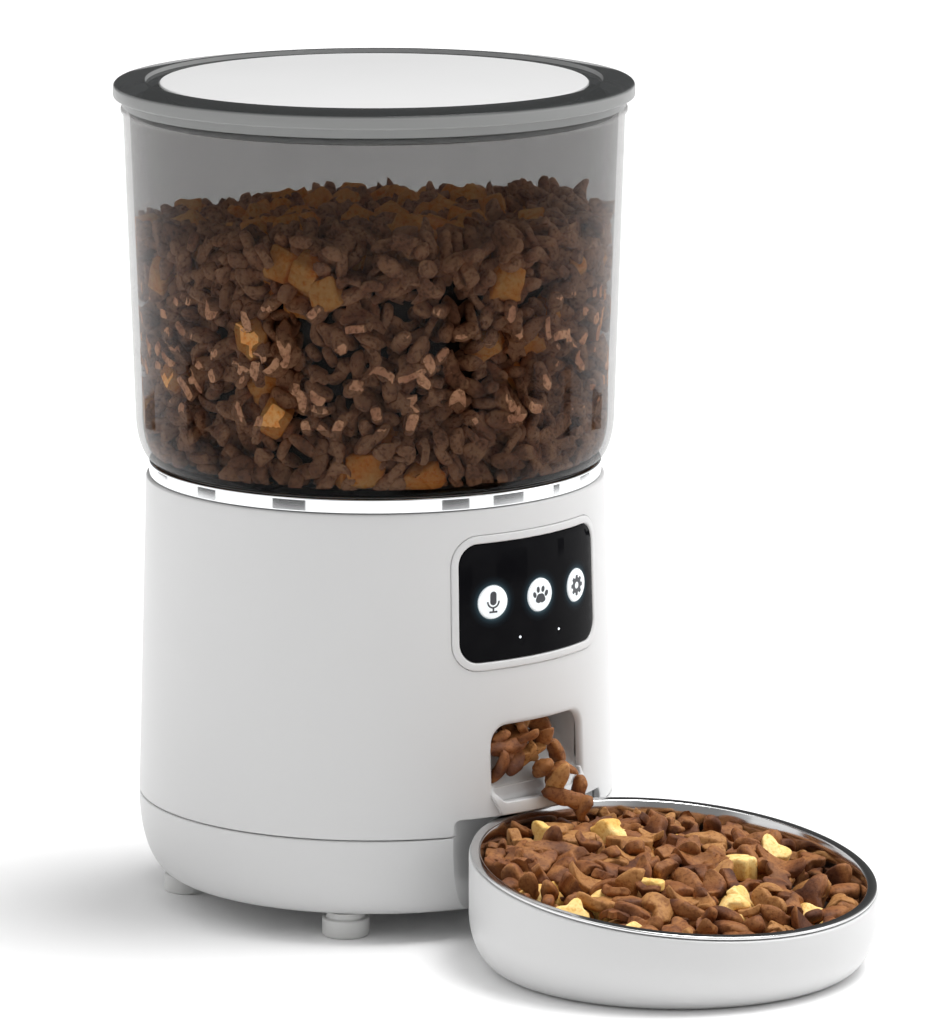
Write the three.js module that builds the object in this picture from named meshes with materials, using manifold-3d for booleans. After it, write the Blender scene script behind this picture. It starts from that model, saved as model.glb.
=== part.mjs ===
// Automatic pet feeder: a lidded hopper on a round housing, a portion rotor with its
// gear drive inside, a chute, and a tilted steel bowl in a docked tray.
// Millimetres, +Z up, the front faces -Y. The body's axis stands AXIS_Y behind the origin,
// which is the middle of the whole feeder's footprint.
import * as THREE from 'three';
import { mergeVertices } from 'three/addons/utils/BufferGeometryUtils.js';
import Module from 'manifold-3d';

const wasm = await Module();
wasm.setup();

// ---------------------------------------------------------------- driving dimensions

const SHELL_SIDES = 36;
const SMALL_SIDES = 16;
const GAP = 0.3;
const WALL = 2.5;

const BOWL_DISTANCE = 158;
const BOWL_RADIUS = 75.5;
const LID_RADIUS = 98.5;
const AXIS_Y = (BOWL_DISTANCE + BOWL_RADIUS - LID_RADIUS) / 2;

const BASE_BOTTOM = 9.7;
const BASE_TOP = 40.4;
const BASE_RADIUS = 91.1;
const BASE_FLAT_RADIUS = 79;
const BASE_CORNER_HEIGHT = 28.3;

const HOUSING_BOTTOM = 40.8;
const HOUSING_TOP = 163.4;
const HOUSING_RADIUS_LOW = 91.15;
const HOUSING_RADIUS_TOP = 87.4;
const SEAT = { rim: 84.6, collar: 83.3, opening: 49, funnelTop: 79.6, funnelBottom: 155.9 };
const SEAT_LEDGE = { inner: 82, bottom: 158.1, top: 160.6 };
const DECK_TOP = 168.9;

const HOPPER_BOTTOM = DECK_TOP + 0.4;
const HOPPER_TOP = 304;
const HOPPER_RADIUS_TOP = 94.8;
const HOPPER_RADIUS_LOW = 91.1;
const HOPPER_CORNER = { width: 7.1, height: 18 };
const HOPPER_FLOOR_RADIUS = 80;
const NECK_RADIUS = 46;
const NECK_WALL = 2;
const NECK_BOTTOM = 151;

const LID_BOTTOM = HOPPER_TOP + GAP;
const LID_TOP = 313;
const LID_LIP = { radius: 86.4, width: 0.8, top: 314.4 };
const LID_WELL = { floor: 312.6, shelf: 310.1, shelfRadius: 78.5 };
const LID_PANEL = { radius: 80.9, thickness: 2.8, edge: 0.5 };
const LID_SKIRT = { radius: 95.2, underside: 307.8 };
const LID_PLUG = { radius: 89.8, wall: 2, bottom: 301, ceiling: 308.2 };

const PANEL_HEIGHT = 128.3;
const FASCIA = { width: 72.6, height: 44.4, corner: 7.7 };
const BEZEL_BORDER = 3;
const KEY_ANGLE = 14.4;
const KEY_RADIUS = 6.4;
const KEY_BACK = 84.4;
const KEY_TRAVEL = 0.8;
const KEY_FLANGE = { border: 1.3, thickness: 0.8 };
const TACT_SWITCH = { halfWidth: 3, back: 80.3, plunger: 1.5, stroke: 1.2 };
const LENS_ANGLE = 6.6;
const LENS_HEIGHT = 113.7;

const OUTLET = { halfWidth: 23.5, bottom: 51, top: 81, corner: 7 };
const SPOUT_BACK = 83.7;
const SPOUT_BORDER = 2.5;
const CHUTE = { back: 29.5, floorHeight: 104, floorStart: 28, slope: 0.833, wall: 1.7, front: 55 };
const BEYOND_WALL = 95;

const NOTCH_RADIUS = 85.5;
const NOTCH_TOP = 46.9;

const CUP = { inner: 57.6, outer: 60, floor: 112, floorTop: 114.2, top: 156, bushHole: 5.6 };
const CUP_EXIT = { halfWidth: 22, front: 52, back: 30.5 };
const BAFFLE = { halfWidth: 34, front: 60, back: 14, bottom: 148, top: 150 };
const ROTOR = { hub: 11, tip: 54, vanes: 6, vaneWidth: 3, bottom: 115.5, top: 146.5 };
const ROTOR_NOSE = { radius: 5, bottom: 115, shoulder: 147, top: 152.5 };
const SHAFT_RADIUS = 4;
const GEAR_MODULE = 1.25;
const ROTOR_TEETH = 40;
const PINION_TEETH = 14;
const BACKLASH = 0.25;
const DRIVE_DISTANCE = (GEAR_MODULE * (ROTOR_TEETH + PINION_TEETH)) / 2 + BACKLASH;
const GEAR_BOTTOM = 103.5;
const GEAR_TOP = 109.5;
const PLATE_BOTTOM = 99;
const PLATE_TOP = 101.2;
const PLATE = { halfWidth: 34, front: 8, back: 56, post: 3 };
const PLATE_POSTS = [[-31, 0], [31, 0], [-22, 50], [22, 50]];
const PINION_SHAFT_RADIUS = 3;

const CORNER_NAMES = ['front_left', 'front_right', 'rear_left', 'rear_right'];
const FOOT = { circle: 73, pad: 8.85, stem: 7.2, padTop: 7, angles: [-53, 53, -130, 130] };
const SCREW = {
  circle: 76, angles: [-75, 75, -155, 155], shank: 2, head: 3.8, headTop: 19.7, top: 53,
};
const BOSS = { radius: 6.2, upperRadius: 5, split: 41.2, top: 58 };
const BAY = { halfWidth: 52.5, front: -30, back: 31, ceiling: 48.5, wall: 2 };
const SPEAKER = { radius: 15, y: -51, top: 20 };
const INLET = { height: 58, radius: 6, bore: 3.2, pin: 1.05, depth: 11 };
const BOARD = { halfWidth: 30, y: 66, thickness: 1.6, bottom: 70, top: 120 };
const MOTOR = { radius: 16.5, bottom: 55, gearheadRadius: 18.5, gearheadBottom: 80.3 };

const RIM_TILT = THREE.MathUtils.degToRad(7.2);
const RIM_HEIGHT = 36;
const RIM_FLANGE = { inner: 71.6, outer: 75.3, thickness: 0.9 };
const STEEL = 0.8;
const BOWL_DEPTH = 24;
const BOWL_CORNER = { width: 17, height: 18 };
const TRAY_CORNER = { width: 12, height: 20 };
const TONGUE = { halfWidth: 16, bottom: 19, top: 27, reach: 11 };

// ---------------------------------------------------------------- shape helpers

const radians = THREE.MathUtils.degToRad;

// Outer radius of the housing's tapering wall at a height.
function housingRadius(height) {
  const share = (height - HOUSING_BOTTOM) / (HOUSING_TOP - HOUSING_BOTTOM);
  return THREE.MathUtils.lerp(HOUSING_RADIUS_LOW, HOUSING_RADIUS_TOP, share);
}

// Outer radius of the hopper's tapering wall at a height.
function hopperRadius(height) {
  const low = HOPPER_BOTTOM + HOPPER_CORNER.height;
  const share = (height - low) / (HOPPER_TOP - low);
  return THREE.MathUtils.lerp(HOPPER_RADIUS_LOW, HOPPER_RADIUS_TOP, share);
}

// Point on a circle about the body's axis, its angle measured from the front.
function around(radius, angle) {
  return [radius * Math.sin(radians(angle)), -radius * Math.cos(radians(angle))];
}

// Points of an elliptical corner from one angle to another, in degrees.
function corner(radius, height, width, rise, from, to, steps = 4) {
  const points = [];
  for (let step = 0; step <= steps; step += 1) {
    const angle = radians(from + ((to - from) * step) / steps);
    points.push([radius + width * Math.cos(angle), height + rise * Math.sin(angle)]);
  }
  return points;
}

// A [radius, height] profile turned about Z. It runs up the outside and down the inside.
function revolve(profile, sides = SHELL_SIDES) {
  const points = profile.map(([radius, height]) => new THREE.Vector2(radius, height));
  const solidOnAxis = profile[0][0] === 0 && profile.at(-1)[0] === 0;
  if (!solidOnAxis) points.push(points[0].clone());
  return new THREE.LatheGeometry(points, sides).rotateX(Math.PI / 2);
}

function tube(inner, outer, bottom, top, sides = SHELL_SIDES) {
  return revolve([[inner, bottom], [outer, bottom], [outer, top], [inner, top]], sides);
}

// Upright round bar.
function post(radius, bottom, top, [x, y] = [0, 0], sides = SMALL_SIDES) {
  const bar = new THREE.CylinderGeometry(radius, radius, top - bottom, sides);
  return bar.rotateX(Math.PI / 2).translate(x, y, (top + bottom) / 2);
}

// Round bar pointing to the front, between two distances from the body's axis.
function frontBar(radius, near, far, height, sides = SMALL_SIDES) {
  const bar = new THREE.CylinderGeometry(radius, radius, far - near, sides);
  return bar.translate(0, -(near + far) / 2, height);
}

function box([x0, y0, z0], [x1, y1, z1]) {
  const block = new THREE.BoxGeometry(x1 - x0, y1 - y0, z1 - z0);
  return block.translate((x0 + x1) / 2, (y0 + y1) / 2, (z0 + z1) / 2);
}

// Rounded rectangle in the XZ plane, extruded towards the front.
function frontPrism(width, height, radius, middle, near, far) {
  const [w, h] = [width / 2 - radius, height / 2 - radius];
  const outline = new THREE.Shape();
  outline.absarc(w, h, radius, 0, Math.PI / 2);
  outline.absarc(-w, h, radius, Math.PI / 2, Math.PI);
  outline.absarc(-w, -h, radius, Math.PI, 1.5 * Math.PI);
  outline.absarc(w, -h, radius, 1.5 * Math.PI, 2 * Math.PI);
  const settings = { depth: far - near, bevelEnabled: false, curveSegments: 3 };
  const prism = new THREE.ExtrudeGeometry(outline, settings);
  return prism.rotateX(Math.PI / 2).translate(0, -near, middle);
}

// Outline of [y, z] points, extruded sideways to both sides of the middle plane.
function sideProfile(points, halfWidth) {
  const outline = new THREE.Shape(points.map(([y, z]) => new THREE.Vector2(y, z)));
  const prism = new THREE.ExtrudeGeometry(outline, { depth: 2 * halfWidth, bevelEnabled: false });
  const axes = [[0, 1, 0], [0, 0, 1], [1, 0, 0]].map((axis) => new THREE.Vector3(...axis));
  prism.applyMatrix4(new THREE.Matrix4().makeBasis(...axes));
  return prism.translate(-halfWidth, 0, 0);
}

// Upright cylinder about the bowl's middle, which shapes the docking notch.
function aroundBowl(radius, bottom, top) {
  return post(radius, bottom, top, [0, -BOWL_DISTANCE], 60);
}

// Band that follows the housing's wall, from an inset behind it to an outset before it.
function wallBand(inset, outset, bottom, top) {
  return revolve([
    [housingRadius(bottom) - inset, bottom],
    [housingRadius(bottom) + outset, bottom],
    [housingRadius(top) + outset, top],
    [housingRadius(top) - inset, top],
  ]);
}

function toSolid(geometry) {
  let merged = geometry;
  if (geometry.attributes.normal) {
    geometry.deleteAttribute('normal');
    geometry.deleteAttribute('uv');
    merged = mergeVertices(geometry, 1e-4);
  }
  const corners = merged.index.array;
  const triVerts = [];
  for (let i = 0; i < corners.length; i += 3) {
    const [a, b, c] = [corners[i], corners[i + 1], corners[i + 2]];
    if (a !== b && b !== c && c !== a) triVerts.push(a, b, c);
  }
  return new wasm.Manifold(new wasm.Mesh({
    numProp: 3,
    vertProperties: new Float32Array(merged.attributes.position.array),
    triVerts: new Uint32Array(triVerts),
  }));
}

function toGeometry(solid) {
  const mesh = solid.getMesh();
  const geometry = new THREE.BufferGeometry();
  geometry.setAttribute('position', new THREE.BufferAttribute(mesh.vertProperties, 3));
  geometry.setIndex(new THREE.BufferAttribute(mesh.triVerts, 1));
  return geometry;
}

function join(first, ...others) {
  return toGeometry(others.reduce((sum, next) => sum.add(toSolid(next)), toSolid(first)));
}

function cut(first, ...others) {
  return toGeometry(others.reduce((rest, next) => rest.subtract(toSolid(next)), toSolid(first)));
}

function common(first, second) {
  return toGeometry(toSolid(first).intersect(toSolid(second)));
}

// ---------------------------------------------------------------- materials

function material(color, roughness, metalness = 0, opacity = 1) {
  return new THREE.MeshStandardMaterial({
    color, roughness, metalness, opacity, transparent: opacity < 1,
  });
}

const materials = {
  whiteGloss: material(0xf2f2f0, 0.3),
  whiteSatin: material(0xe9e9e7, 0.5),
  smoke: material(0x5c5f60, 0.12, 0, 0.5),
  chrome: material(0xd8dadc, 0.06, 1),
  steel: material(0xc8cacb, 0.18, 1),
  blackGloss: material(0x050506, 0.08),
  blackPlastic: material(0x1a1a1b, 0.5),
  keyWhite: material(0xf6fbff, 0.35),
  rubber: material(0xdcdcda, 0.8),
  silicone: material(0xd0d2d2, 0.7),
  nylon: material(0xe6e1d2, 0.5),
  board: material(0x1d5a34, 0.5),
  motorSteel: material(0x9a9c9e, 0.35, 1),
  brass: material(0xb59347, 0.35, 1),
};

function part(name, geometry, finish, angle = 0) {
  geometry.computeVertexNormals();
  const mesh = new THREE.Mesh(geometry, finish);
  mesh.name = name;
  mesh.rotation.z = radians(angle);
  return mesh;
}

// ---------------------------------------------------------------- lid and hopper

function lidRing() {
  const plugInside = LID_PLUG.radius - LID_PLUG.wall;
  const panelRoom = LID_PANEL.radius + GAP;
  return revolve([
    [plugInside, LID_PLUG.bottom],
    [LID_PLUG.radius, LID_PLUG.bottom],
    [LID_PLUG.radius, LID_BOTTOM],
    [LID_SKIRT.radius, LID_BOTTOM],
    [LID_SKIRT.radius, LID_SKIRT.underside],
    [LID_RADIUS - 0.6, LID_SKIRT.underside],
    [LID_RADIUS, LID_SKIRT.underside + 0.8],
    [LID_RADIUS, LID_TOP - 1.2],
    [LID_RADIUS - 1.2, LID_TOP],
    [LID_LIP.radius + LID_LIP.width, LID_LIP.top],
    [LID_LIP.radius, LID_LIP.top],
    [LID_LIP.radius - 0.4, LID_WELL.floor],
    [panelRoom, LID_WELL.floor],
    [panelRoom, LID_WELL.shelf],
    [LID_WELL.shelfRadius, LID_WELL.shelf],
    [LID_WELL.shelfRadius, LID_PLUG.ceiling],
    [plugInside, LID_PLUG.ceiling],
  ]);
}

function lidPanel() {
  const bottom = LID_WELL.shelf + GAP;
  const { radius, thickness, edge } = LID_PANEL;
  return revolve([
    [0, bottom],
    [radius, bottom],
    [radius, bottom + thickness - edge],
    [radius - edge, bottom + thickness],
    [0, bottom + thickness],
  ]);
}

// Ring round the lid's plug that closes it against the hopper's wall.
function lidSeal() {
  const { radius, bottom } = LID_PLUG;
  return tube(radius + GAP, radius + 1.9, bottom + 0.5, LID_BOTTOM - 0.7);
}

// The corner ellipse starts level with the floor and ends upright on the wall.
function hopperTank() {
  const cornerRadius = HOPPER_RADIUS_LOW - HOPPER_CORNER.width;
  const cornerTop = HOPPER_BOTTOM + HOPPER_CORNER.height;
  const { width, height } = HOPPER_CORNER;
  const floor = HOPPER_BOTTOM + 2.6;
  return revolve([
    [NECK_RADIUS, NECK_BOTTOM],
    [NECK_RADIUS + NECK_WALL, NECK_BOTTOM],
    [NECK_RADIUS + NECK_WALL, 156.4],
    [HOPPER_FLOOR_RADIUS, HOPPER_BOTTOM],
    ...corner(cornerRadius, cornerTop, width, height, -90, 0),
    [hopperRadius(301.8), 301.8],
    [95.7, 302.5],
    [95.7, 303.6],
    [95.3, HOPPER_TOP],
    [HOPPER_RADIUS_TOP - WALL, HOPPER_TOP],
    ...corner(cornerRadius, cornerTop, width - WALL, height - 2.6, 0, -90, 3),
    [HOPPER_FLOOR_RADIUS - 0.5, floor],
    [NECK_RADIUS, 158.3],
  ]);
}

// ---------------------------------------------------------------- housing and base

function chromeRing() {
  const [inner, outer] = [SEAT.collar + GAP, 86.2];
  return revolve([
    [inner, HOUSING_TOP + GAP],
    [outer, HOUSING_TOP + GAP],
    [outer, DECK_TOP - 0.3],
    [outer - 0.4, DECK_TOP],
    [inner, DECK_TOP],
  ]);
}

function screwBoss(angle) {
  const middle = around(SCREW.circle, angle);
  const bottom = BOSS.split + GAP;
  const rib = box([-1.5, 1 - housingRadius(50), bottom], [1.5, -SCREW.circle, BOSS.top]);
  return join(post(BOSS.upperRadius, bottom, BOSS.top, middle), rib.rotateZ(radians(angle)));
}

// Ring that carries the hopper: a funnel down to the rotor, a collar and a rim on the ledge.
function hopperSeat() {
  const bottom = SEAT_LEDGE.top + GAP;
  return revolve([
    [SEAT.collar - 2.3, bottom],
    [SEAT.rim, bottom],
    [SEAT.rim, HOUSING_TOP],
    [SEAT.collar, HOUSING_TOP],
    [SEAT.collar, DECK_TOP],
    [SEAT.funnelTop, DECK_TOP],
    [SEAT.opening, SEAT.funnelBottom],
    [SEAT.opening, SEAT.funnelBottom - WALL],
    [SEAT.collar - 2.3, DECK_TOP - 2],
  ]);
}

// Wall of the housing, with the ledge that the hopper's seat rests on.
function upperHousing() {
  const inner = (height) => housingRadius(height) - WALL;
  const shell = revolve([
    [inner(HOUSING_BOTTOM), HOUSING_BOTTOM],
    [HOUSING_RADIUS_LOW, HOUSING_BOTTOM],
    [housingRadius(HOUSING_TOP - 1), HOUSING_TOP - 1],
    [HOUSING_RADIUS_TOP - 1, HOUSING_TOP],
    [inner(HOUSING_TOP), HOUSING_TOP],
    [inner(SEAT_LEDGE.top), SEAT_LEDGE.top],
    [SEAT_LEDGE.inner, SEAT_LEDGE.top],
    [SEAT_LEDGE.inner, SEAT_LEDGE.bottom + 1],
    [inner(SEAT_LEDGE.bottom), SEAT_LEDGE.bottom - 2],
  ]);
  const ceiling = common(
    aroundBowl(NOTCH_RADIUS + WALL, NOTCH_TOP, NOTCH_TOP + 2),
    post(inner(HOUSING_BOTTOM) + 0.5, NOTCH_TOP, NOTCH_TOP + 2, [0, 0], SHELL_SIDES),
  );
  const whole = join(shell, ceiling, ...SCREW.angles.map(screwBoss));
  const window = panelPrism(BEZEL_BORDER + 2 * GAP);
  const spoutHole = spoutPrism(GAP, NOTCH_TOP - 1);
  const inletHole = frontBar(INLET.radius + GAP, 80, BEYOND_WALL, INLET.height).rotateZ(Math.PI);
  const screwHoles = SCREW.angles.map((angle) => (
    post(SCREW.shank + GAP, BOSS.split, SCREW.top + 1, around(SCREW.circle, angle), 12)
  ));
  const notch = aroundBowl(NOTCH_RADIUS, 30, NOTCH_TOP);
  return cut(whole, notch, window, spoutHole, inletHole, ...screwHoles);
}

// Outer block of the spout, grown by a margin, from a lowest height.
function spoutPrism(margin, bottom) {
  const top = OUTLET.top + SPOUT_BORDER + margin;
  const width = 2 * (OUTLET.halfWidth + SPOUT_BORDER + margin);
  const radius = OUTLET.corner + SPOUT_BORDER;
  const near = SPOUT_BACK - margin;
  const block = frontPrism(width, top - 30, radius, (top + 30) / 2, near, BEYOND_WALL);
  return cut(block, box([-40, -100, 0], [40, 0, bottom]));
}

function baseEnvelope(radius, width, rise, flat, bottom) {
  return [
    [0, bottom],
    [flat, bottom],
    ...corner(flat, bottom + rise, width, rise, -90, 0),
    [radius, BASE_TOP],
  ];
}

function baseShell() {
  const width = BASE_RADIUS - BASE_FLAT_RADIUS;
  const rise = BASE_CORNER_HEIGHT;
  const outside = baseEnvelope(BASE_RADIUS, width, rise, BASE_FLAT_RADIUS, BASE_BOTTOM);
  const inside = baseEnvelope(
    BASE_RADIUS - WALL, width - WALL, rise - WALL, BASE_FLAT_RADIUS, BASE_BOTTOM + WALL,
  );
  const shell = revolve([...outside, ...inside.reverse()]);
  const coreRadius = housingRadius(HOUSING_BOTTOM) - WALL - 2 * GAP;
  const coreTop = NOTCH_TOP - GAP;
  const core = revolve([
    ...outside, [coreRadius, BASE_TOP], [coreRadius, coreTop], [0, coreTop],
  ]);
  const notchBlock = aroundBowl(NOTCH_RADIUS + WALL, 0, coreTop);
  const bay = box(
    [-BAY.halfWidth - BAY.wall, BAY.front - BAY.wall, BASE_BOTTOM],
    [BAY.halfWidth + BAY.wall, BAY.back + BAY.wall, BAY.ceiling + BAY.wall],
  );
  const atScrews = (radius, bottom, top, sides) => SCREW.angles.map((angle) => (
    post(radius, bottom, top, around(SCREW.circle, angle), sides)
  ));
  const bosses = atScrews(BOSS.radius, BASE_BOTTOM + 1.5, BOSS.split, SMALL_SIDES);
  const counterbores = atScrews(SCREW.head + 0.4, 0, SCREW.headTop + GAP, SMALL_SIDES);
  const shankHoles = atScrews(SCREW.shank + GAP, BASE_BOTTOM, BOSS.split + 1, 12);
  const bayRoom = box(
    [-BAY.halfWidth, BAY.front, 0], [BAY.halfWidth, BAY.back, BAY.ceiling],
  );
  const grilleSlots = [-8, 0, 8].map((x) => (
    box([x - 1.5, SPEAKER.y - 11, 0], [x + 1.5, SPEAKER.y + 11, BASE_BOTTOM + 5])
  ));
  const tongueSlot = box(
    [-TONGUE.halfWidth - 0.6, -80, TONGUE.bottom - 0.6],
    [TONGUE.halfWidth + 0.6, -60, TONGUE.top + 0.6],
  );
  const whole = join(shell, common(core, notchBlock), bay, ...bosses);
  const room = aroundBowl(NOTCH_RADIUS, 0, 60);
  return cut(
    whole, room, bayRoom, tongueSlot, ...counterbores, ...shankHoles, ...grilleSlots,
  );
}

function baseScrew() {
  return revolve([
    [0, SCREW.headTop - 2.3], [SCREW.head, SCREW.headTop - 2.3], [SCREW.head, SCREW.headTop],
    [SCREW.shank, SCREW.headTop], [SCREW.shank, SCREW.top], [0, SCREW.top],
  ], 10);
}

function foot() {
  const { pad, stem, padTop } = FOOT;
  return revolve([
    [0, 0], [pad - 0.6, 0], [pad, 0.6], [pad, padTop - 0.8], [pad - 0.8, padTop],
    [stem, padTop], [stem, BASE_BOTTOM - GAP], [0, BASE_BOTTOM - GAP],
  ], SMALL_SIDES);
}

function batteryCover() {
  const { halfWidth, front, back } = BAY;
  return box(
    [-halfWidth + 0.4, front + 0.4, BASE_BOTTOM + 0.2],
    [halfWidth - 0.4, back - 0.4, BASE_BOTTOM + 2.2],
  );
}

function batteryContact(side) {
  const inner = side * (BAY.halfWidth - 1.1);
  const outer = side * (BAY.halfWidth - GAP);
  return box([Math.min(inner, outer), -20, 16], [Math.max(inner, outer), 20, 44]);
}

// ---------------------------------------------------------------- front panel

// Outline of the panel grown by a margin, as a prism right through the housing's front wall.
function panelPrism(margin) {
  return frontPrism(
    FASCIA.width + 2 * margin, FASCIA.height + 2 * margin, FASCIA.corner + margin,
    PANEL_HEIGHT, 70, BEYOND_WALL,
  );
}

function panelBezel() {
  const outer = panelPrism(BEZEL_BORDER + GAP);
  const frame = common(wallBand(5, 0.6, 95, 160), outer);
  const back = wallBand(10, -2.6, 95, 160);
  const window = cut(panelPrism(GAP), back);
  return cut(frame, window, panelPrism(-3));
}

function panelFascia() {
  const plate = common(wallBand(2, 0.1, 95, 160), panelPrism(0));
  const keyHoles = [-KEY_ANGLE, 0, KEY_ANGLE].map((angle) => (
    frontBar(KEY_RADIUS + GAP, 80, 95, PANEL_HEIGHT, 20).rotateZ(radians(angle))
  ));
  const lensHoles = [-LENS_ANGLE, LENS_ANGLE].map((angle) => (
    frontBar(1.1, 80, 95, LENS_HEIGHT, 8).rotateZ(radians(angle))
  ));
  return cut(plate, ...keyHoles, ...lensHoles);
}

// Round key with a retaining flange behind the fascia, facing the front.
function key() {
  const face = housingRadius(PANEL_HEIGHT) + 0.25;
  return join(
    frontBar(KEY_RADIUS, KEY_BACK, face, PANEL_HEIGHT, 20),
    frontBar(
      KEY_RADIUS + KEY_FLANGE.border, KEY_BACK, KEY_BACK + KEY_FLANGE.thickness, PANEL_HEIGHT, 20,
    ),
  );
}

function indicatorLens() {
  const face = housingRadius(LENS_HEIGHT);
  return frontBar(0.75, face - 2.6, face + 0.15, LENS_HEIGHT, 8);
}

function panelBoard() {
  return common(
    tube(78.4, 80, 100, 156),
    frontPrism(58, 42, 3, PANEL_HEIGHT, 60, 95),
  );
}

function tactSwitch() {
  const { halfWidth, back, plunger, stroke } = TACT_SWITCH;
  const tip = KEY_BACK - KEY_TRAVEL - 0.1;
  const body = box(
    [-halfWidth, 1 - tip, PANEL_HEIGHT - halfWidth], [halfWidth, -back, PANEL_HEIGHT + halfWidth],
  );
  return join(body, frontBar(plunger, tip - stroke, tip, PANEL_HEIGHT, 12));
}

// ---------------------------------------------------------------- dispenser and drive

function dispenserCup() {
  const shell = revolve([
    [CUP.bushHole, CUP.floor], [CUP.outer, CUP.floor], [CUP.outer, CUP.top],
    [CUP.inner, CUP.top], [CUP.inner, CUP.floorTop], [CUP.bushHole, CUP.floorTop],
  ]);
  const { halfWidth, front, back } = CUP_EXIT;
  return cut(shell, box([-halfWidth, -front, CUP.floor - 2], [halfWidth, -back, CUP.floorTop + 2]));
}

// Plate that hides the rotor's exit pocket from the hopper above it.
function portionBaffle() {
  const { halfWidth, front, back, bottom, top } = BAFFLE;
  return common(
    post(CUP.inner - GAP, bottom, top, [0, 0], SHELL_SIDES),
    box([-halfWidth, -front, bottom - 1], [halfWidth, -back, top + 1]),
  );
}

function portionRotor() {
  const bore = SHAFT_RADIUS + GAP;
  const nose = revolve([
    [0, ROTOR_NOSE.bottom], [ROTOR.hub, ROTOR_NOSE.bottom], [ROTOR.hub, ROTOR_NOSE.shoulder],
    [ROTOR_NOSE.radius, ROTOR_NOSE.top], [0, ROTOR_NOSE.top],
  ], 24);
  const vanes = [];
  for (let turn = 0; turn < ROTOR.vanes; turn += 1) {
    const half = ROTOR.vaneWidth / 2;
    const vane = box([-half, ROTOR.hub - 3, ROTOR.bottom], [half, ROTOR.tip, ROTOR.top]);
    vanes.push(vane.rotateZ(radians(30 + (360 * turn) / ROTOR.vanes)));
  }
  return cut(join(nose, ...vanes), post(bore, CUP.floor - 2, ROTOR_NOSE.shoulder + 1));
}

// Spur gear with straight-sided teeth about Z, one tooth pointing at the start angle.
function gear(teeth, startAngle, bore, bottom, top) {
  const pitchRadius = (GEAR_MODULE * teeth) / 2;
  const tip = pitchRadius + 0.85 * GEAR_MODULE;
  const root = pitchRadius - 1.15 * GEAR_MODULE;
  const pitch = (2 * Math.PI) / teeth;
  const outline = new THREE.Shape();
  const points = [];
  for (let tooth = 0; tooth < teeth; tooth += 1) {
    const middle = radians(startAngle) + tooth * pitch;
    const flanks = [[-0.31, root], [-0.11, tip], [0.11, tip], [0.31, root]];
    flanks.forEach(([share, radius]) => {
      const angle = middle + share * pitch;
      points.push(new THREE.Vector2(radius * Math.cos(angle), radius * Math.sin(angle)));
    });
  }
  outline.setFromPoints(points);
  const hole = new THREE.Path();
  hole.absarc(0, 0, bore, 0, 2 * Math.PI, true);
  outline.holes.push(hole);
  const settings = { depth: top - bottom, bevelEnabled: false, curveSegments: 8 };
  return new THREE.ExtrudeGeometry(outline, settings).translate(0, 0, bottom);
}

function gearhead() {
  return post(MOTOR.gearheadRadius, MOTOR.gearheadBottom, PLATE_BOTTOM - GAP, [0, 0], 24);
}

function motorCan() {
  return post(MOTOR.radius, MOTOR.bottom, MOTOR.gearheadBottom - GAP, [0, 0], 24);
}

function gearPlate() {
  const { halfWidth, front, back, post: postRadius } = PLATE;
  const plate = box([-halfWidth, -front, PLATE_BOTTOM], [halfWidth, back, PLATE_TOP]);
  const posts = PLATE_POSTS.map((place) => (
    post(postRadius, PLATE_TOP - 1, CUP.floor - GAP, place, 12)
  ));
  const [below, above] = [PLATE_BOTTOM - 1, PLATE_TOP + 1];
  const shaftHole = post(SHAFT_RADIUS + GAP, below, above);
  const pinionHole = post(PINION_SHAFT_RADIUS + GAP, below, above, [0, DRIVE_DISTANCE]);
  return cut(join(plate, ...posts), shaftHole, pinionHole);
}

function chuteFloor(distance) {
  return CHUTE.floorHeight - CHUTE.slope * (distance - CHUTE.floorStart);
}

// Room inside the duct from the cup's exit down to the spout, running on past both ends.
function ductRoom() {
  const { back, front } = CHUTE;
  const above = CUP.floor + 1;
  return sideProfile([
    [-back, above], [-back, chuteFloor(back)], [-BEYOND_WALL, chuteFloor(BEYOND_WALL)],
    [-BEYOND_WALL, OUTLET.top], [-SPOUT_BACK, OUTLET.top], [-front, 90], [-front, above],
  ], OUTLET.halfWidth);
}

function chute() {
  const end = SPOUT_BACK - 0.5;
  const back = CHUTE.back - 2.1;
  const front = CHUTE.front + 2.2;
  const top = CUP.floor - GAP;
  const outside = sideProfile([
    [-back, top], [-back, chuteFloor(back) - 2.6], [-end, chuteFloor(end) - 2.6],
    [-end, OUTLET.top + 1.8], [-front, 92], [-front, top],
  ], OUTLET.halfWidth + CHUTE.wall);
  return cut(outside, ductRoom());
}

function outletSpout() {
  const surface = wallBand(20, 0.3, NOTCH_TOP + GAP, 95);
  const block = common(spoutPrism(0, NOTCH_TOP + GAP), surface);
  const height = OUTLET.top - OUTLET.bottom;
  const middle = (OUTLET.top + OUTLET.bottom) / 2;
  const mouth = frontPrism(2 * OUTLET.halfWidth, height, OUTLET.corner, middle, 80, BEYOND_WALL);
  return cut(block, common(mouth, ductRoom()));
}

// ---------------------------------------------------------------- electrics

function mainBoard() {
  const { halfWidth, y, thickness, bottom, top } = BOARD;
  return box([-halfWidth, y, bottom], [halfWidth, y + thickness, top]);
}

function speaker() {
  return post(SPEAKER.radius, BASE_BOTTOM + WALL + GAP, SPEAKER.top, [0, SPEAKER.y], 24);
}

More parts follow.
